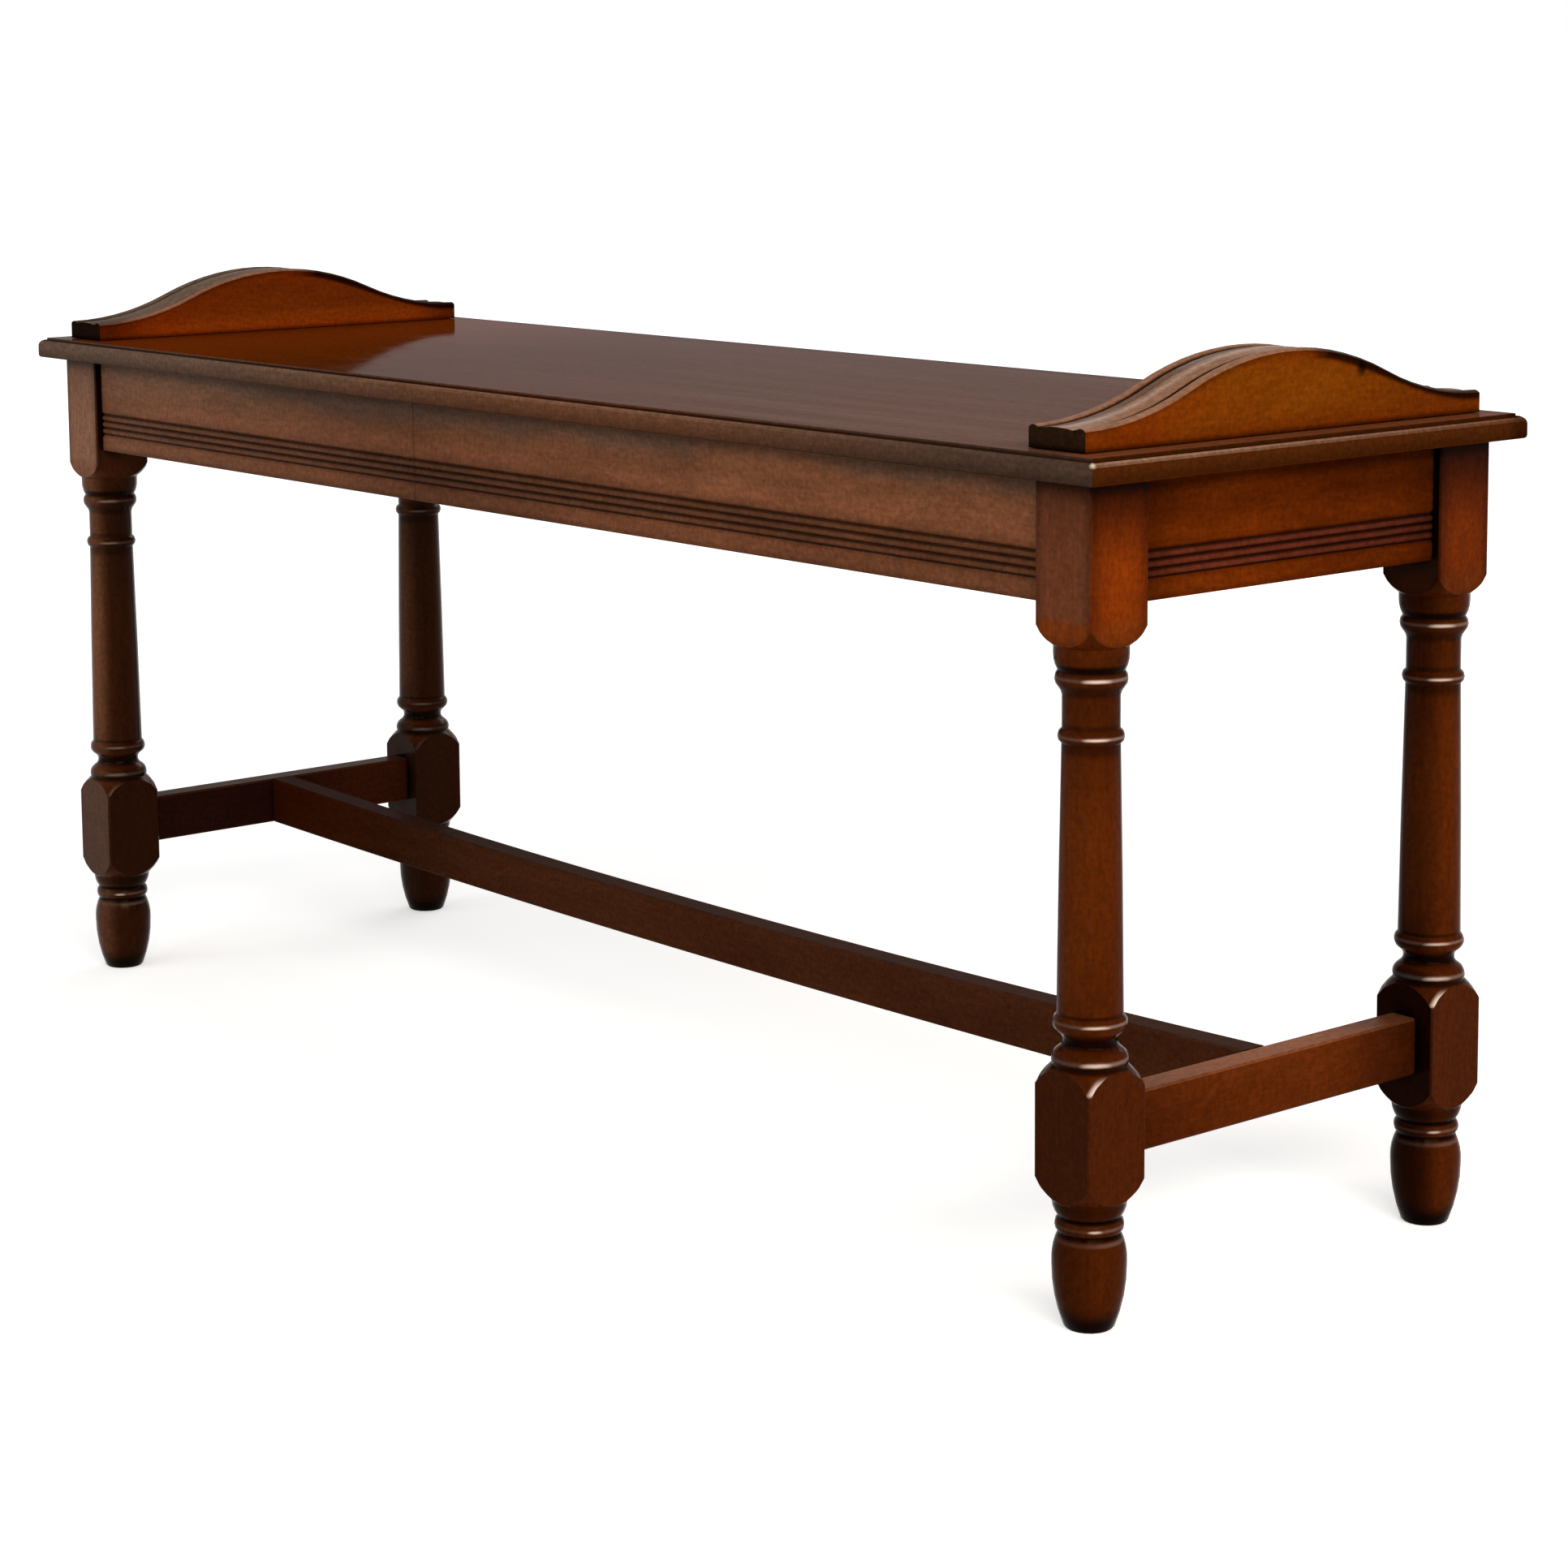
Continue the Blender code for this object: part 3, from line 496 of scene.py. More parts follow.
def under_seat_shade_share(shader):
    """Share of the painted shadow of the seat on the top of a frieze."""
    drift = shader.noise(shader.position, 16.0)
    height = shader.math("ADD", shader.math("SUBTRACT", shader.at["Z"], shade_lift(shader)),
                         shader.span(drift, 0.3, 0.7, -0.005, 0.005))
    return shader.span(height, 0.4540, 0.4700, 0.0, 0.75, smooth=True)


def lower_warmth_share(shader):
    """Share of warmer, brighter colour on the lower half of a frieze."""
    return shader.span(shader.at["Z"], 0.4460, 0.4560, 0.50, 0.0, smooth=True)


def frieze_left_sheen_share(shader):
    """Share of painted sheen, paler and greyer, towards the left of the front frieze."""
    return shader.span(shader.at["X"], -0.56, -0.05, 0.70, 0.0, smooth=True)


def reed_band(shader):
    """1 over the height of the three reeds, and 0 above and below them."""
    return shader.times(shader.span(shader.at["Z"], REED_FOOT - 0.0008, REED_FOOT),
                        shader.span(shader.at["Z"], REED_TOP, REED_TOP + 0.0012, 1.0, 0.0))


def reed_sheen_share(shader):
    """Share of painted sheen, paler and greyer, on the reeds."""
    return shader.times(reed_band(shader), 0.5)


def reed_highlight_and_shade(shader):
    """Painted shade on the sides and a painted highlight on the crest of the three reeds."""
    reeds_up = shader.math("DIVIDE", shader.math("SUBTRACT", shader.at["Z"], REED_FOOT), REED_PITCH)
    from_crest = shader.apart(shader.math("FRACT", reeds_up), 0.5)
    stripe = shader.span(from_crest, 0.10, 0.32, 0.78, 0.44, smooth=True)
    return shader.math("MAXIMUM", stripe, shader.math("SUBTRACT", 1.0, reed_band(shader)))


def rail_shade(shader, reach=0.026, depth=0.68, lift=0.0):
    """The painted shadow of the seat's overhang on the rails, darker from the reeds down, most at
    the foot, and the reeds' painted shade and highlights.
    """
    z = shader.at["Z"]
    yield shader.span(shader.math("SUBTRACT", z, lift), SEAT_UNDERSIDE - reach, SEAT_UNDERSIDE,
                      1.0, depth, smooth=True)
    yield shader.math("MAXIMUM", shader.span(z, 0.4095, 0.4135, 0.55, 0.81, smooth=True),
                      shader.span(z, 0.4240, 0.4460, smooth=True))
    yield reed_highlight_and_shade(shader)
    smoke = shader.noise(
        shader.vector(shader.times(shader.at["X"], 9.0), shader.times(shader.at["Y"], 9.0),
                      shader.times(z, 40.0)),
        1.0, 3.0, 0.6,
    )
    yield shader.span(smoke, 0.3, 0.7, 0.75, 1.17)


def end_rail_shade(shader):
    """Adds painted shade beside the legs and painted light in the middle and towards the front."""
    yield from rail_shade(shader, reach=0.060, depth=0.50)
    from_middle = shader.absolute(shader.at["Y"])
    yield shader.span(from_middle, 0.085, 0.121, 1.0, 0.62, smooth=True)
    yield shader.span(from_middle, 0.015, 0.090, 1.20, 1.0, smooth=True)
    yield shader.span(shader.at["Y"], -0.110, 0.020, 1.20, 1.0, smooth=True)


def front_rail_shade(shader):
    """Adds the hairline seam left of the front frieze's middle, and darkens the frieze round it."""
    waver = shader.noise(shader.vector(0.0, 0.0, shader.at["Z"]), 90.0)
    seam = shader.span(waver, 0.3, 0.7, SEAM_LEAST, SEAM_MOST)
    away = shader.absolute(shader.math("ADD", shader.at["X"], seam))
    yield shader.span(away, 0.0003, 0.0014, 0.60, 1.0, smooth=True)
    yield shader.span(away, 0.03, 0.26, 0.74, 1.0, smooth=True)
    yield from rail_shade(shader, depth=0.94, lift=shade_lift(shader))


def redder_share(shader):
    """Share of redder polish at the foot, the front end and along the top of an upstand."""
    z = shader.at["Z"]
    drift = shader.span(shader.noise(shader.position, 24.0, 3.0), 0.3, 0.7, -0.2, 0.2)
    total = shader.chain("MAXIMUM", (
        shader.span(shader.at["Y"], -0.120, -0.030, 0.85, 0.0, smooth=True),
        shader.span(z, UPSTAND_FOOT, 0.5080, 0.75, 0.0, smooth=True),
        shader.span(z, 0.5250, 0.5400, 0.0, 0.80, smooth=True),
    ))
    clipped = shader.span(shader.math("ADD", total, drift), 0.0, 1.0)
    return shader.times(clipped, shader.span(shader.absolute(shader.facing["X"]), 0.6, 0.9))


def outward(shader, side):
    """Distance from the middle plane of an upstand towards the bench's end."""
    return shader.math("SUBTRACT", shader.times(shader.at["X"], side), UPSTAND_X)


def crown_band(side, low, high, soft, share):
    """Share for a strip along the crown of an upstand, from low to high in the outward way."""

    def strip(shader):
        place = outward(shader, side)
        return shader.times(
            shader.span(place, low - soft, low + soft, smooth=True),
            shader.span(place, high - soft, high + soft, 1.0, 0.0, smooth=True),
            shader.span(shader.facing["Z"], 0.55, 0.75),
            share,
        )

    return strip


def upstand_shade(side, foot, spared, knotted=False):
    """Painted shade: dark quirks beside the crown, a dark rim under the top edge and a darker rim
    over the rear half. The foot is darker too. spared maps the outward distance to 1 where the
    darker rim of the rear half is left out."""

    def shade(shader):
        y, z = shader.at["Y"], shader.at["Z"]
        wave = shader.math("COSINE", shader.times(y, math.pi / UPSTAND_HALF_LENGTH))
        top = shader.math("ADD", shader.times(wave, UPSTAND_WAVE_HEIGHT), UPSTAND_WAVE_MIDDLE)
        depth = shader.math("SUBTRACT", top, z)
        sideways = shader.span(shader.absolute(shader.facing["X"]), 0.6, 0.9)
        yield shader.math("MAXIMUM", shader.span(depth, 0.0005, 0.0060, 0.50, 1.0, smooth=True),
                          shader.math("SUBTRACT", 1.0, sideways))
        yield shader.chain("MAXIMUM", (
            shader.span(depth, 0.0040, 0.0072, 0.14, 1.0, smooth=True),
            shader.span(y, 0.004, 0.040, 1.0, 0.0, smooth=True),
            shader.span(outward(shader, side), *spared),
        ))
        yield shader.span(z, UPSTAND_FOOT, 0.4975, foot, 1.0, smooth=True)
        end_part = shader.span(shader.absolute(shader.facing["Y"]), 0.6, 0.8)
        for quirk, darkness in UPSTAND_QUIRKS:
            away = shader.apart(outward(shader, side), quirk)
            line = shader.span(away, 0.0006, 0.0026, darkness, 1.0, smooth=True)
            yield shader.math("MAXIMUM", line, end_part)
        if side < 0.0:
            yield shader.span(y, -0.156, -0.110, 0.46, 1.14, smooth=True)
            yield shader.span(y, 0.118, 0.156, 1.0, 0.48, smooth=True)
            yield shader.span(z, 0.498, 0.511, 1.10, 0.78, smooth=True)
        if knotted:
            away = shader.length(shader.vector(0.0, shader.math("SUBTRACT", y, KNOT_Y),
                                               shader.math("SUBTRACT", z, KNOT_Z)))
            yield shader.span(away, 0.0014, 0.0058, 0.20, 1.0, smooth=True)

    return shade


def level_part(shader):
    """1 on faces that lie level and look up."""
    return shader.span(shader.facing["Z"], 0.95, 0.99)


def seat_shade(shader):
    """Painted shade on the lower part of the seat's edge and in the quirk above its thumb
    moulding; its rear edge is darker too."""
    upward = shader.facing["Z"]
    yield shader.span(shader.at["Z"], 0.4785, 0.4875, 0.64, 1.0, smooth=True)
    yield shader.math("MAXIMUM", shader.span(upward, 0.80, 0.86, 1.0, 0.30),
                      shader.span(upward, 0.995, 0.999))
    yield shader.span(shader.at["Y"], 0.160, 0.172, 1.0, 0.55, smooth=True)


def thumb_highlight_share(shader):
    """Share of the painted highlight on the round of the seat's thumb moulding, most at the ends.
    """
    upward = shader.facing["Z"]
    end_highlight = shader.span(shader.at["Y"], -0.10, 0.18, 1.0, 0.35)
    return shader.times(
        shader.span(upward, 0.26, 0.70),
        shader.span(upward, 0.80, 0.86, 1.0, 0.0),
        shader.span(shader.absolute(shader.facing["X"]), 0.1, 0.4, 0.55, end_highlight),
    )


def seat_reflection_share(shader):
    """Share of the painted grey reflection on the seat, which grows towards its right end."""
    x, y = shader.at["X"], shader.at["Y"]
    grain = shader.noise(shader.vector(shader.times(x, 2.5), shader.times(y, 38.0), 0.0),
                         1.0, 3.0, 0.6)
    return shader.times(
        shader.span(x, -0.31, 0.45, 0.0, 0.66, smooth=True),
        shader.span(y, -0.15, 0.05, 1.25, 1.0, smooth=True),
        level_part(shader),
        shader.span(grain, 0.32, 0.68, 0.45, 1.45),
    )


def strip_reflection_share(shader):
    """Share of the painted reflection of the right upstand on the strip of the seat outside it."""
    return shader.times(shader.span(shader.at["X"], 0.5455, 0.5470, 0.0, 0.8), level_part(shader))


def upstand_reflection_share(shader):
    """Share of the painted reflection of the left upstand on the seat beside it."""
    x = shader.at["X"]
    return shader.times(shader.span(x, -0.45, -0.20, 0.9, 0.0, smooth=True),
                        shader.span(x, -0.535, -0.525), level_part(shader))


def seat_left_sheen_share(shader):
    """Share of painted grey sheen at the left end of the seat and along its edge there."""
    x = shader.at["X"]
    edge = shader.span(x, -0.50, 0.05, 0.75, 0.0, smooth=True)
    top = shader.span(x, -0.552, -0.545, 0.8, 0.0)
    return shader.mix_value(level_part(shader), edge, top)


def seat_edge_shade_share(shader):
    """Share of painted shade on the front edge of the seat towards its right end."""
    return shader.times(shader.span(shader.times(shader.facing["Y"], -1.0), 0.1, 0.5),
                        shader.span(shader.at["X"], 0.15, 0.55, smooth=True), 0.9)


def seat_corner_highlight_share(shader):
    """Share of the painted highlight at the front right corner of the thumb moulding."""
    away = shader.add("ShaderNodeVectorMath", operation="DISTANCE")
    shader.join(shader.position, away.inputs[0])
    away.inputs[1].default_value = SEAT_CORNER_HIGHLIGHT_PLACE
    return shader.span(away.outputs["Value"], 0.0008, 0.0032, 0.9, 0.0, smooth=True)


def inner_shade_share(shader):
    """Share of painted shade on the inner face of the left end stretcher."""
    return shader.span(shader.at["Y"], -0.01, 0.08, 0.98, 0.68, smooth=True)


def end_stretcher_shade(shader):
    """Painted light in the middle and painted shade beside the legs, most at the rear one."""
    yield shader.span(shader.at["Y"], -0.115, -0.020, 0.76, 1.12, smooth=True)
    yield shader.span(shader.at["Y"], 0.030, 0.118, 1.0, 0.36, smooth=True)


def deep_red_share(shader):
    """Share of deeper red polish towards the left end of the centre stretcher."""
    return shader.span(shader.at["X"], -0.50, -0.30, 0.75, 0.0, smooth=True)


def centre_stretcher_shade(shader):
    """Darkens the centre stretcher towards its left end."""
    yield shader.span(shader.at["X"], -0.52, -0.05, 0.45, 1.0, smooth=True)


def dress(names, material):
    """Gives pieces one material in place of their own."""
    for name in names:
        mesh = nodes[name].data
        mesh.materials.clear()
        mesh.materials.append(material)


dress(["seat_board"], polished_wood(
    "seat_mahogany", "X", SEAT, pith=(0.31, 0.42), seed=3.0, gloss=0.055, level=0.00019,
    relief=0.02,
    leanings=(("|X", SEAT_END_EDGE, 0.9, 0.70, 0.92), ("-Y", SEAT_FRONT_EDGE_SHEEN, 0.9, 0.5, 0.8),
              ("+Z", SEAT_THUMB_HIGHLIGHT, thumb_highlight_share, 0.30, 0.40)),
    drifts=((seat_reflection_share, SEAT_REFLECTION), (strip_reflection_share, SEAT_STRIP_REFLECTION), (upstand_reflection_share, SEAT_UPSTAND_REFLECTION),
            (seat_left_sheen_share, SEAT_LEFT_SHEEN), (seat_edge_shade_share, SEAT_EDGE_SHADE)),
    hollow_shade=(0.0035, 0.45, 0.95, 0.35), shade=seat_shade,
    painted_highlights=((seat_corner_highlight_share, SEAT_CORNER_HIGHLIGHT),),
))
dress(["right_upstand"], polished_wood(
    "upstand_mahogany", "Y", WARM, pith=(0.21, -0.40), seed=7.0, level=0.001,
    leanings=(("|Y", END_GRAIN, 0.95, 0.6, 0.9), ("+Z", RIGHT_CROWN_SHEEN, 0.85, 0.60, 0.95)),
    drifts=((redder_share, RIGHT_REDDER),
            (crown_band(1.0, -0.0130, -0.0050, 0.0030, 0.75), RIGHT_HOLLOW_SHEEN),
            (crown_band(1.0, -0.0062, -0.0042, 0.0012, 0.60), RIGHT_HOLLOW_SHADOW),
            (crown_band(1.0, -0.0005, 0.0040, 0.0026, 0.56), RIGHT_CREST_HIGHLIGHT)),
    hollow_shade=(0.005, 0.55, 0.95, 0.22),
    shade=upstand_shade(1.0, 0.82, (0.0090, 0.0120, 1.0, 0.0), knotted=True),
))
dress(["left_upstand"], polished_wood(
    "upstand_red_mahogany", "Y", LEFT_RED, pith=(0.33, -0.44), seed=11.0, level=0.001,
    leanings=(("|Y", END_GRAIN, 0.95, 0.6, 0.9), ("+Z", LEFT_CROWN_SHEEN, 0.75, 0.60, 0.95)),
    drifts=((redder_share, LEFT_REDDER),
            (crown_band(-1.0, -0.0110, 0.0200, 0.0030, 0.80), LEFT_CREST_SHEEN)),
    hollow_shade=(0.005, 0.55, 0.95, 0.35),
    shade=upstand_shade(-1.0, 0.85, (-0.0120, -0.0090, 0.0, 1.0)),
))
dress(["front_rail"], polished_wood(
    "frieze_mahogany", "X", SHEENED_FRIEZE, pith=(0.25, -0.30), seed=5.0, gloss=0.26, level=0.015,
    drifts=((frieze_left_sheen_share, FRIEZE_LEFT_SHEEN), (under_seat_shade_share, UNDER_SEAT_SHADE), (lower_warmth_share, FRIEZE_LOWER_WARMTH)),
    hollow_shade=(0.004, 0.45, 0.92, 0.60), shade=front_rail_shade,
))
dress(["rear_rail"], polished_wood(
    "rear_frieze_mahogany", "X", SHEENED_FRIEZE, pith=(0.25, -0.30), seed=8.0, gloss=0.26, level=0.015,
    drifts=((under_seat_shade_share, UNDER_SEAT_SHADE), (lower_warmth_share, FRIEZE_LOWER_WARMTH)),
    hollow_shade=(0.004, 0.45, 0.92, 0.40), shade=rail_shade,
))
dress(["left_rail", "right_rail"], polished_wood(
    "end_frieze_mahogany", "Y", END_RED, pith=(0.22, -0.28), seed=2.0, gloss=0.26, level=0.001,
    drifts=((reed_sheen_share, REED_SHEEN),),
    hollow_shade=(0.004, 0.45, 0.92, 0.40), shade=end_rail_shade,
))

# Tone of each leg's top block, and of its shaft and its foot against that, which paint the shade
# that differs from leg to leg and down each leg, and the share of painted highlight on its beads,
# at its ankle and at the shoulder of its lower block
LEG_TONES = {
    "front_left": {"block": 0.99, "shaft": 0.78, "foot": 1.20,
                   "beads": 0.16, "ankle": 0.75, "corner": 0.08},
    "front_right": {"block": 0.95, "shaft": 0.54, "foot": 0.95,
                    "beads": 0.85, "ankle": 0.90, "corner": 0.85},
    "rear_left": {"block": 0.98, "shaft": 1.04, "foot": 1.00,
                  "beads": 0.14, "ankle": 0.20, "corner": 0.05},
    "rear_right": {"block": 0.67, "shaft": 0.82, "foot": 1.15,
                   "beads": 0.70, "ankle": 0.85, "corner": 0.95},
}
# Painted sheen on a leg's front and rear faces: its colour, its share below the top block, and
# the share of golden polish there
LEG_FACE_SHEEN = {
    "left": ((0.184, 0.084, 0.0450), 0.50, 0.0),
    "right": ((0.094, 0.031, 0.0130), 0.12, 0.36),
}
for number, (corner, tones) in enumerate(LEG_TONES.items()):
    left = corner.endswith("left")
    side = -1.0 if left else 1.0
    face = -1.0 if corner.startswith("front") else 1.0
    face_sheen, face_sheen_share, golden_share = LEG_FACE_SHEEN["left" if left else "right"]
    dress([f"{corner}_leg"], polished_wood(
        f"{corner}_leg_mahogany", "Z", BROWN_RED if left else RED,
        pith=(0.2, 0.1 * number), seed=4.0 * number, gloss=0.16, level=0.030 if left else 0.014,
        leanings=(("|Y", face_sheen, block_mask(0.85, face_sheen_share), 0.55, 0.95),),
        drifts=((block_light_pool_share, BLOCK_LIGHT_POOL), (block_mask(0.0, golden_share), GOLDEN),
                (shoulder_glint_share, EDGE_GLINT)),
        hollow_shade=(0.020, 0.45, 0.95, 0.05),
        shade=leg_shade(side, face, tones),
        painted_highlights=((crest_glint_share(LEG_GLINT_CRESTS, tones["beads"], 0.86, 0.22), PAINTED_GLINT),
              (crest_glint_share(FOOT_GLINT_CRESTS, tones["ankle"], 0.95, 0.10), PAINTED_GLINT),
              (corner_glint_share(side, face, tones["corner"]), PAINTED_GLINT)),
    ))

dress(["left_end_stretcher"], polished_wood(
    "left_stretcher_mahogany", "Y", END_DARK, pith=(0.18, 0.08), seed=13.0, gloss=0.28,
    level=0.004,
    leanings=(("+Z", LEFT_STRETCHER_TOP, 0.90, 0.5, 0.9),
              ("+X", LEFT_STRETCHER_INNER_SHADE, inner_shade_share, 0.5, 0.9)),
))
dress(["right_end_stretcher"], polished_wood(
    "end_stretcher_mahogany", "Y", END_DARK, pith=(0.18, 0.05), seed=9.0, gloss=0.28,
    level=0.004,
    leanings=(("+Z", RIGHT_STRETCHER_TOP_SHEEN, 0.85, 0.5, 0.9),), shade=end_stretcher_shade,
))
dress(["centre_stretcher"], polished_wood(
    "stretcher_mahogany", "X", SHADED_STRETCHER, pith=(0.16, 0.02), seed=6.0, gloss=0.28, level=0.0008,
    leanings=(("+Z", CENTRE_STRETCHER_TOP, 0.85, 0.5, 0.9),),
    drifts=((deep_red_share, CENTRE_STRETCHER_RED),), shade=centre_stretcher_shade,
))


def smooth_turnings(names):
    """Rounds the shading over the lathe's facets and leaves flats and crisp edges as they are.
    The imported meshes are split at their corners, so they are joined first."""
    weld_distance = 0.00001
    flat_cosine = 0.9998
    crease = math.radians(34.0)
    tree = bpy.data.node_groups.new("smooth_turnings", "GeometryNodeTree")
    tree.interface.new_socket("Geometry", in_out="INPUT", socket_type="NodeSocketGeometry")
    tree.interface.new_socket("Geometry", in_out="OUTPUT", socket_type="NodeSocketGeometry")

    def add(kind, **settings):
        node = tree.nodes.new(kind)
        for key, value in settings.items():
            setattr(node, key, value)
        return node

    def join(output, socket):
        tree.links.new(output, socket)

    source = add("NodeGroupInput")
    plain = add("GeometryNodeRemoveAttribute")
    plain.inputs["Name"].default_value = "custom_normal"
    welded = add("GeometryNodeMergeByDistance")
    welded.inputs["Distance"].default_value = weld_distance
    normal = add("GeometryNodeInputNormal")
    size = add("ShaderNodeVectorMath", operation="ABSOLUTE")
    parts = add("ShaderNodeSeparateXYZ")
    larger = add("ShaderNodeMath", operation="MAXIMUM")
    largest = add("ShaderNodeMath", operation="MAXIMUM")
    curved = add("FunctionNodeCompare", data_type="FLOAT", operation="LESS_THAN")
    curved.inputs["B"].default_value = flat_cosine
    faces = add("GeometryNodeSetShadeSmooth")
    angle = add("GeometryNodeInputMeshEdgeAngle")
    gentle = add("FunctionNodeCompare", data_type="FLOAT", operation="LESS_THAN")
    gentle.inputs["B"].default_value = crease
    edges = add("GeometryNodeSetShadeSmooth", domain="EDGE")
    target = add("NodeGroupOutput")
    join(source.outputs[0], plain.inputs["Geometry"])
    join(plain.outputs[0], welded.inputs["Geometry"])
    join(welded.outputs[0], faces.inputs["Geometry"])
    join(normal.outputs[0], size.inputs[0])
    join(size.outputs[0], parts.inputs[0])
    join(parts.outputs["X"], larger.inputs[0])
    join(parts.outputs["Y"], larger.inputs[1])
    join(larger.outputs[0], largest.inputs[0])
    join(parts.outputs["Z"], largest.inputs[1])
    join(largest.outputs[0], curved.inputs["A"])
    join(curved.outputs[0], faces.inputs["Shade Smooth"])
    join(faces.outputs[0], edges.inputs["Geometry"])
    join(angle.outputs["Unsigned Angle"], gentle.inputs["A"])
    join(gentle.outputs[0], edges.inputs["Shade Smooth"])
    join(edges.outputs[0], target.inputs[0])
    for name in names:
        modifier = nodes[name].modifiers.new("smooth_turnings", "NODES")
        modifier.node_group = tree


smooth_turnings([name for name in nodes if name.endswith(("_leg", "_upstand"))])


def plain_wood():
    """Mahogany left bare inside the frame."""
    shader = Shader("bare_mahogany")
    figure, pores, cloud = wood_pattern(shader, "X", (0.1, 0.2), 1.0)
    colour = shader.mix(figure, (0.16, 0.07, 0.030), (0.26, 0.13, 0.062))
    colour = shader.mix(0.4, colour, shader.mix(cloud, (0.14, 0.06, 0.026), (0.24, 0.12, 0.06)))
    colour = shader.scale_colour(colour, shader.span(pores, 0.0, 1.0, 0.8, 1.1))
    shader.join(colour, shader.surface.inputs["Base Color"])
    shader.surface.inputs["Roughness"].default_value = 0.75
    return shader.material


def screw_steel():
    """Dulled, spotted steel."""
    shader = Shader("dulled_steel")
    tarnish = shader.noise(shader.position, 700.0, 3.0, 0.6)
    colour = shader.mix(tarnish, (0.20, 0.18, 0.16), (0.36, 0.34, 0.31))
    shader.join(colour, shader.surface.inputs["Base Color"])
    shader.surface.inputs["Metallic"].default_value = 1.0
    shader.join(shader.span(tarnish, 0.3, 0.7, 0.35, 0.6), shader.surface.inputs["Roughness"])
    return shader.material


dress([name for name in nodes if name.endswith("_block") or "_glue_block_" in name], plain_wood())
dress([name for name in nodes if "_screw_" in name], screw_steel())

# Strength of the world's light on the bench. What the camera sees of the world is plain white.
WORLD_LIGHT = 0.42
FLOOR_RADIUS = 40.0
# The floor lies a little below the soles, so that the two don't share a plane
FLOOR_DROP = 0.0002
FLOOR_COLOUR = (0.86, 0.86, 0.86, 1.0)
WHITE = (1.0, 1.0, 1.0, 1.0)
# Glow of the floor at two distances from the bench, which whitens it and spares the shadow
FLOOR_GLOW = ((0.7, 0.42), (4.0, 0.90))

LAMP_TARGET = Vector((0.0, 0.0, 0.35))
# Name, place, size in metres, power in watts and colour
SOFTBOXES = (
    ("key", (2.79, -1.01, 1.55), (2.8, 0.7), 92.0, (1.0, 0.90, 0.78)),
    ("front_fill", (-0.45, -2.94, 1.55), (3.4, 0.7), 37.0, (0.94, 0.97, 1.0)),
    ("back_fill", (-1.11, 2.75, 1.80), (2.8, 0.9), 26.0, (1.0, 0.98, 0.95)),
)


def seen_share(tree):
    """1 for what the camera sees straight on, in a reflection or through glass."""
    path = tree.nodes.new("ShaderNodeLightPath")
    seen = path.outputs["Is Camera Ray"]
    for kind in ("Is Glossy Ray", "Is Transmission Ray"):
        larger = tree.nodes.new("ShaderNodeMath")
        larger.operation = "MAXIMUM"
        tree.links.new(seen, larger.inputs[0])
        tree.links.new(path.outputs[kind], larger.inputs[1])
        seen = larger.outputs[0]
    return seen


def make_world():
    world = bpy.data.worlds.new("studio")
    bpy.context.scene.world = world
    world.use_nodes = True
    tree = world.node_tree
    background = tree.nodes["Background"]
    background.inputs["Color"].default_value = WHITE
    strength = tree.nodes.new("ShaderNodeMix")
    tree.links.new(seen_share(tree), strength.inputs[0])
    strength.inputs[2].default_value = WORLD_LIGHT
    strength.inputs[3].default_value = 1.0
    tree.links.new(strength.outputs[0], background.inputs["Strength"])


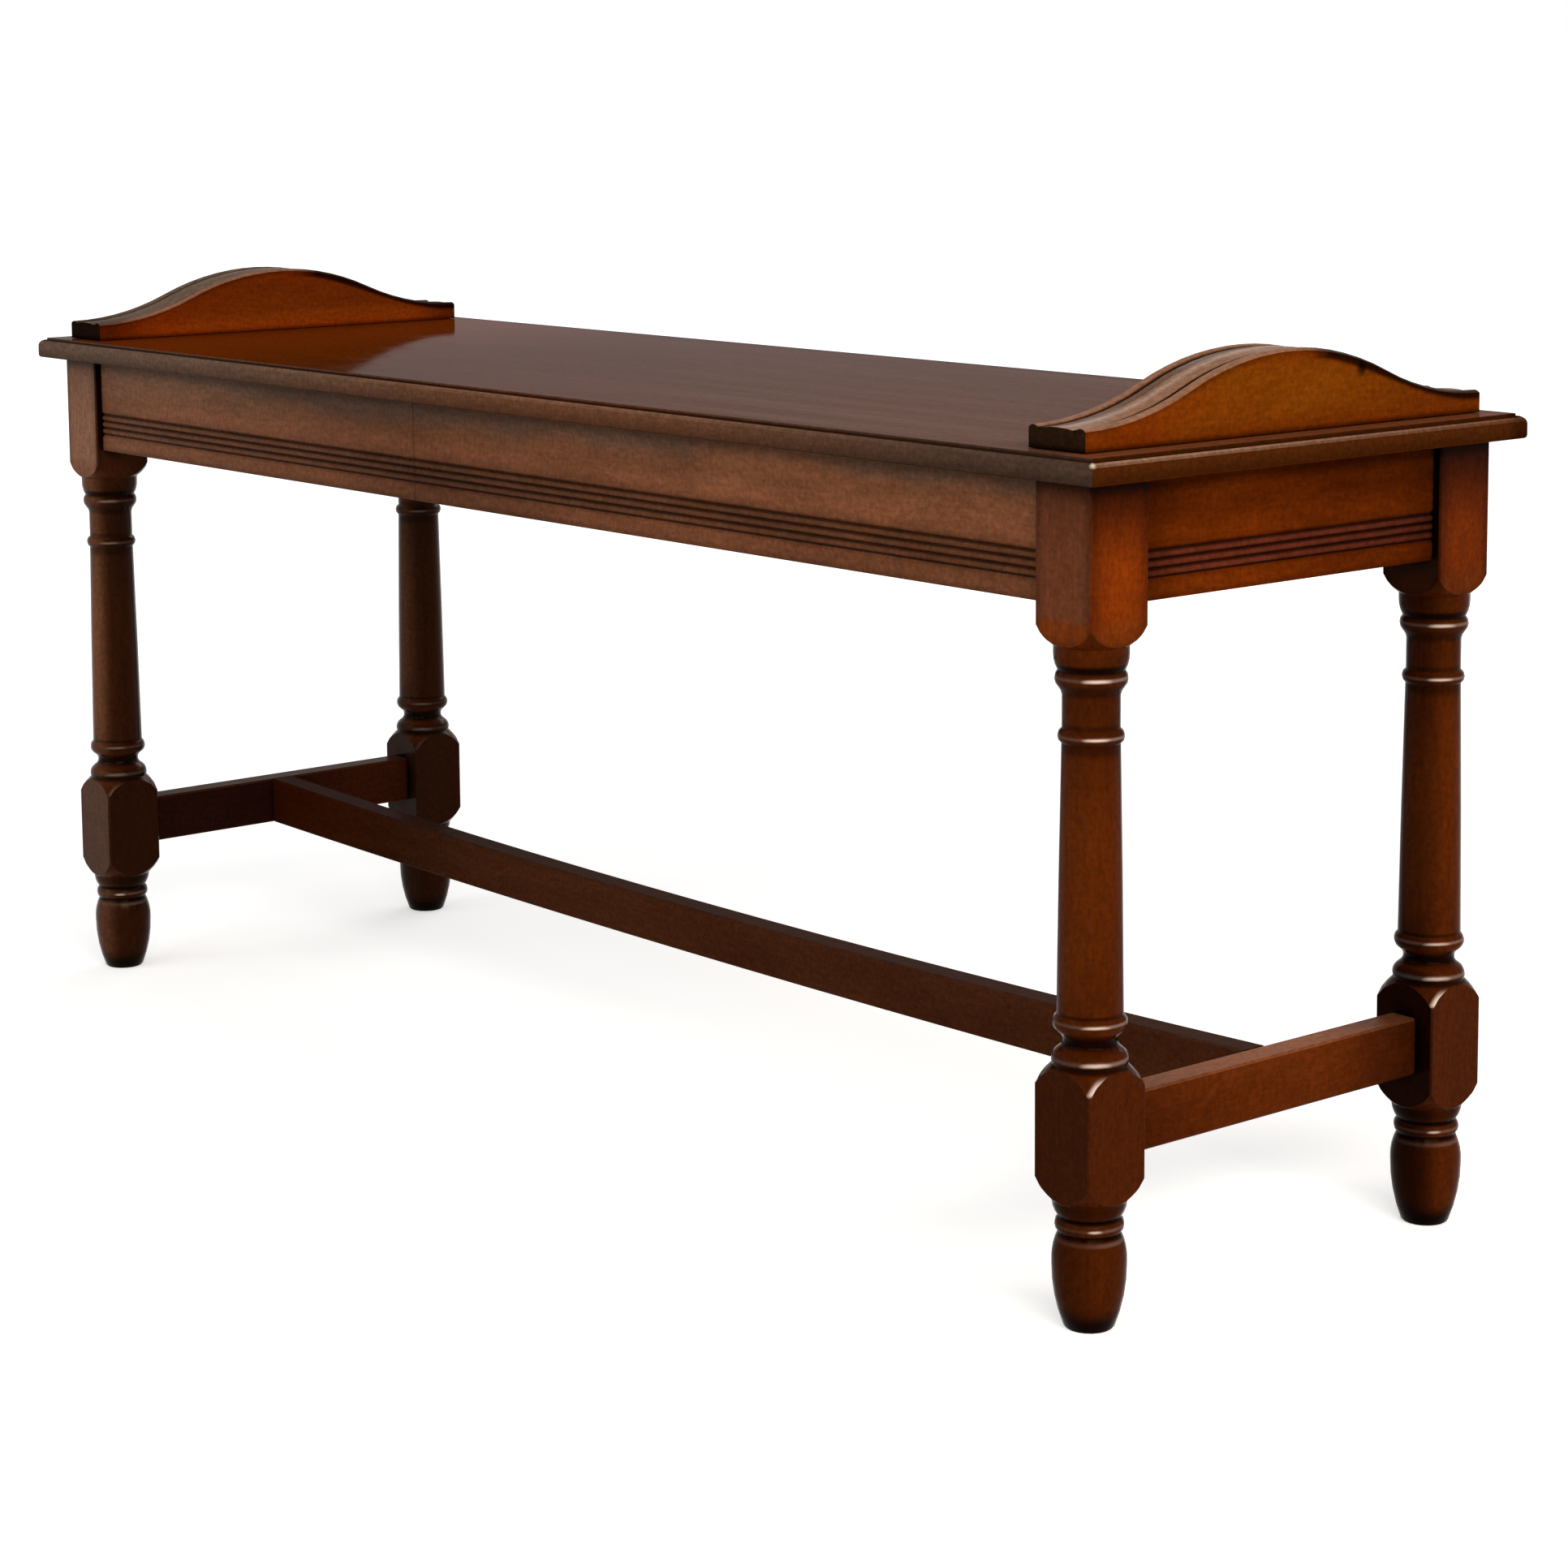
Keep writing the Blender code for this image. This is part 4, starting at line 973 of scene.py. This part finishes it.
def make_floor():
    bpy.ops.mesh.primitive_circle_add(vertices=96, radius=FLOOR_RADIUS, fill_type="NGON")
    floor = bpy.context.object
    floor.name = "studio_floor"
    floor.location.z = -FLOOR_DROP
    material = bpy.data.materials.new("pale_floor")
    material.use_nodes = True
    tree = material.node_tree
    surface = tree.nodes["Principled BSDF"]
    surface.inputs["Base Color"].default_value = FLOOR_COLOUR
    surface.inputs["Roughness"].default_value = 0.9
    surface.inputs["Specular IOR Level"].default_value = 0.0
    place = tree.nodes.new("ShaderNodeNewGeometry")
    distance = tree.nodes.new("ShaderNodeVectorMath")
    distance.operation = "LENGTH"
    tree.links.new(place.outputs["Position"], distance.inputs[0])
    lift = tree.nodes.new("ShaderNodeMapRange")
    tree.links.new(distance.outputs["Value"], lift.inputs["Value"])
    for end, (away, strength) in zip(("Min", "Max"), FLOOR_GLOW):
        lift.inputs[f"From {end}"].default_value = away
        lift.inputs[f"To {end}"].default_value = strength
    glow = tree.nodes.new("ShaderNodeMath")
    glow.operation = "MULTIPLY"
    tree.links.new(seen_share(tree), glow.inputs[0])
    tree.links.new(lift.outputs["Result"], glow.inputs[1])
    surface.inputs["Emission Color"].default_value = WHITE
    tree.links.new(glow.outputs[0], surface.inputs["Emission Strength"])
    floor.data.materials.append(material)


def add_softbox(name, place, size, power, colour):
    lamp = bpy.data.lights.new(name, "AREA")
    lamp.shape = "RECTANGLE"
    lamp.size, lamp.size_y = size
    lamp.energy = power
    lamp.color = colour
    item = bpy.data.objects.new(name, lamp)
    item.location = place
    item.rotation_euler = (LAMP_TARGET - Vector(place)).to_track_quat("-Z", "Y").to_euler()
    item.visible_camera = False
    bpy.context.scene.collection.objects.link(item)


def make_camera():
    forward = Vector((
        -math.sin(CAMERA_YAW) * math.cos(CAMERA_PITCH),
        math.cos(CAMERA_YAW) * math.cos(CAMERA_PITCH),
        -math.sin(CAMERA_PITCH),
    ))
    level = Vector((math.cos(CAMERA_YAW), math.sin(CAMERA_YAW), 0.0))
    upright = level.cross(forward)
    right = level * math.cos(CAMERA_ROLL) + upright * math.sin(CAMERA_ROLL)
    up = upright * math.cos(CAMERA_ROLL) - level * math.sin(CAMERA_ROLL)
    data = bpy.data.cameras.new("photo_camera")
    data.sensor_width = CAMERA_SENSOR
    data.lens = CAMERA_LENS
    data.shift_y = CAMERA_SHIFT_Y
    item = bpy.data.objects.new("photo_camera", data)
    matrix = Matrix((right, up, -forward)).transposed().to_4x4()
    matrix.translation = CAMERA_PLACE
    item.matrix_world = matrix
    bpy.context.scene.collection.objects.link(item)
    bpy.context.scene.camera = item


make_world()
make_floor()
for softbox in SOFTBOXES:
    add_softbox(*softbox)
make_camera()
bpy.context.scene.view_settings.view_transform = "Standard"

bpy.context.view_layer.update()
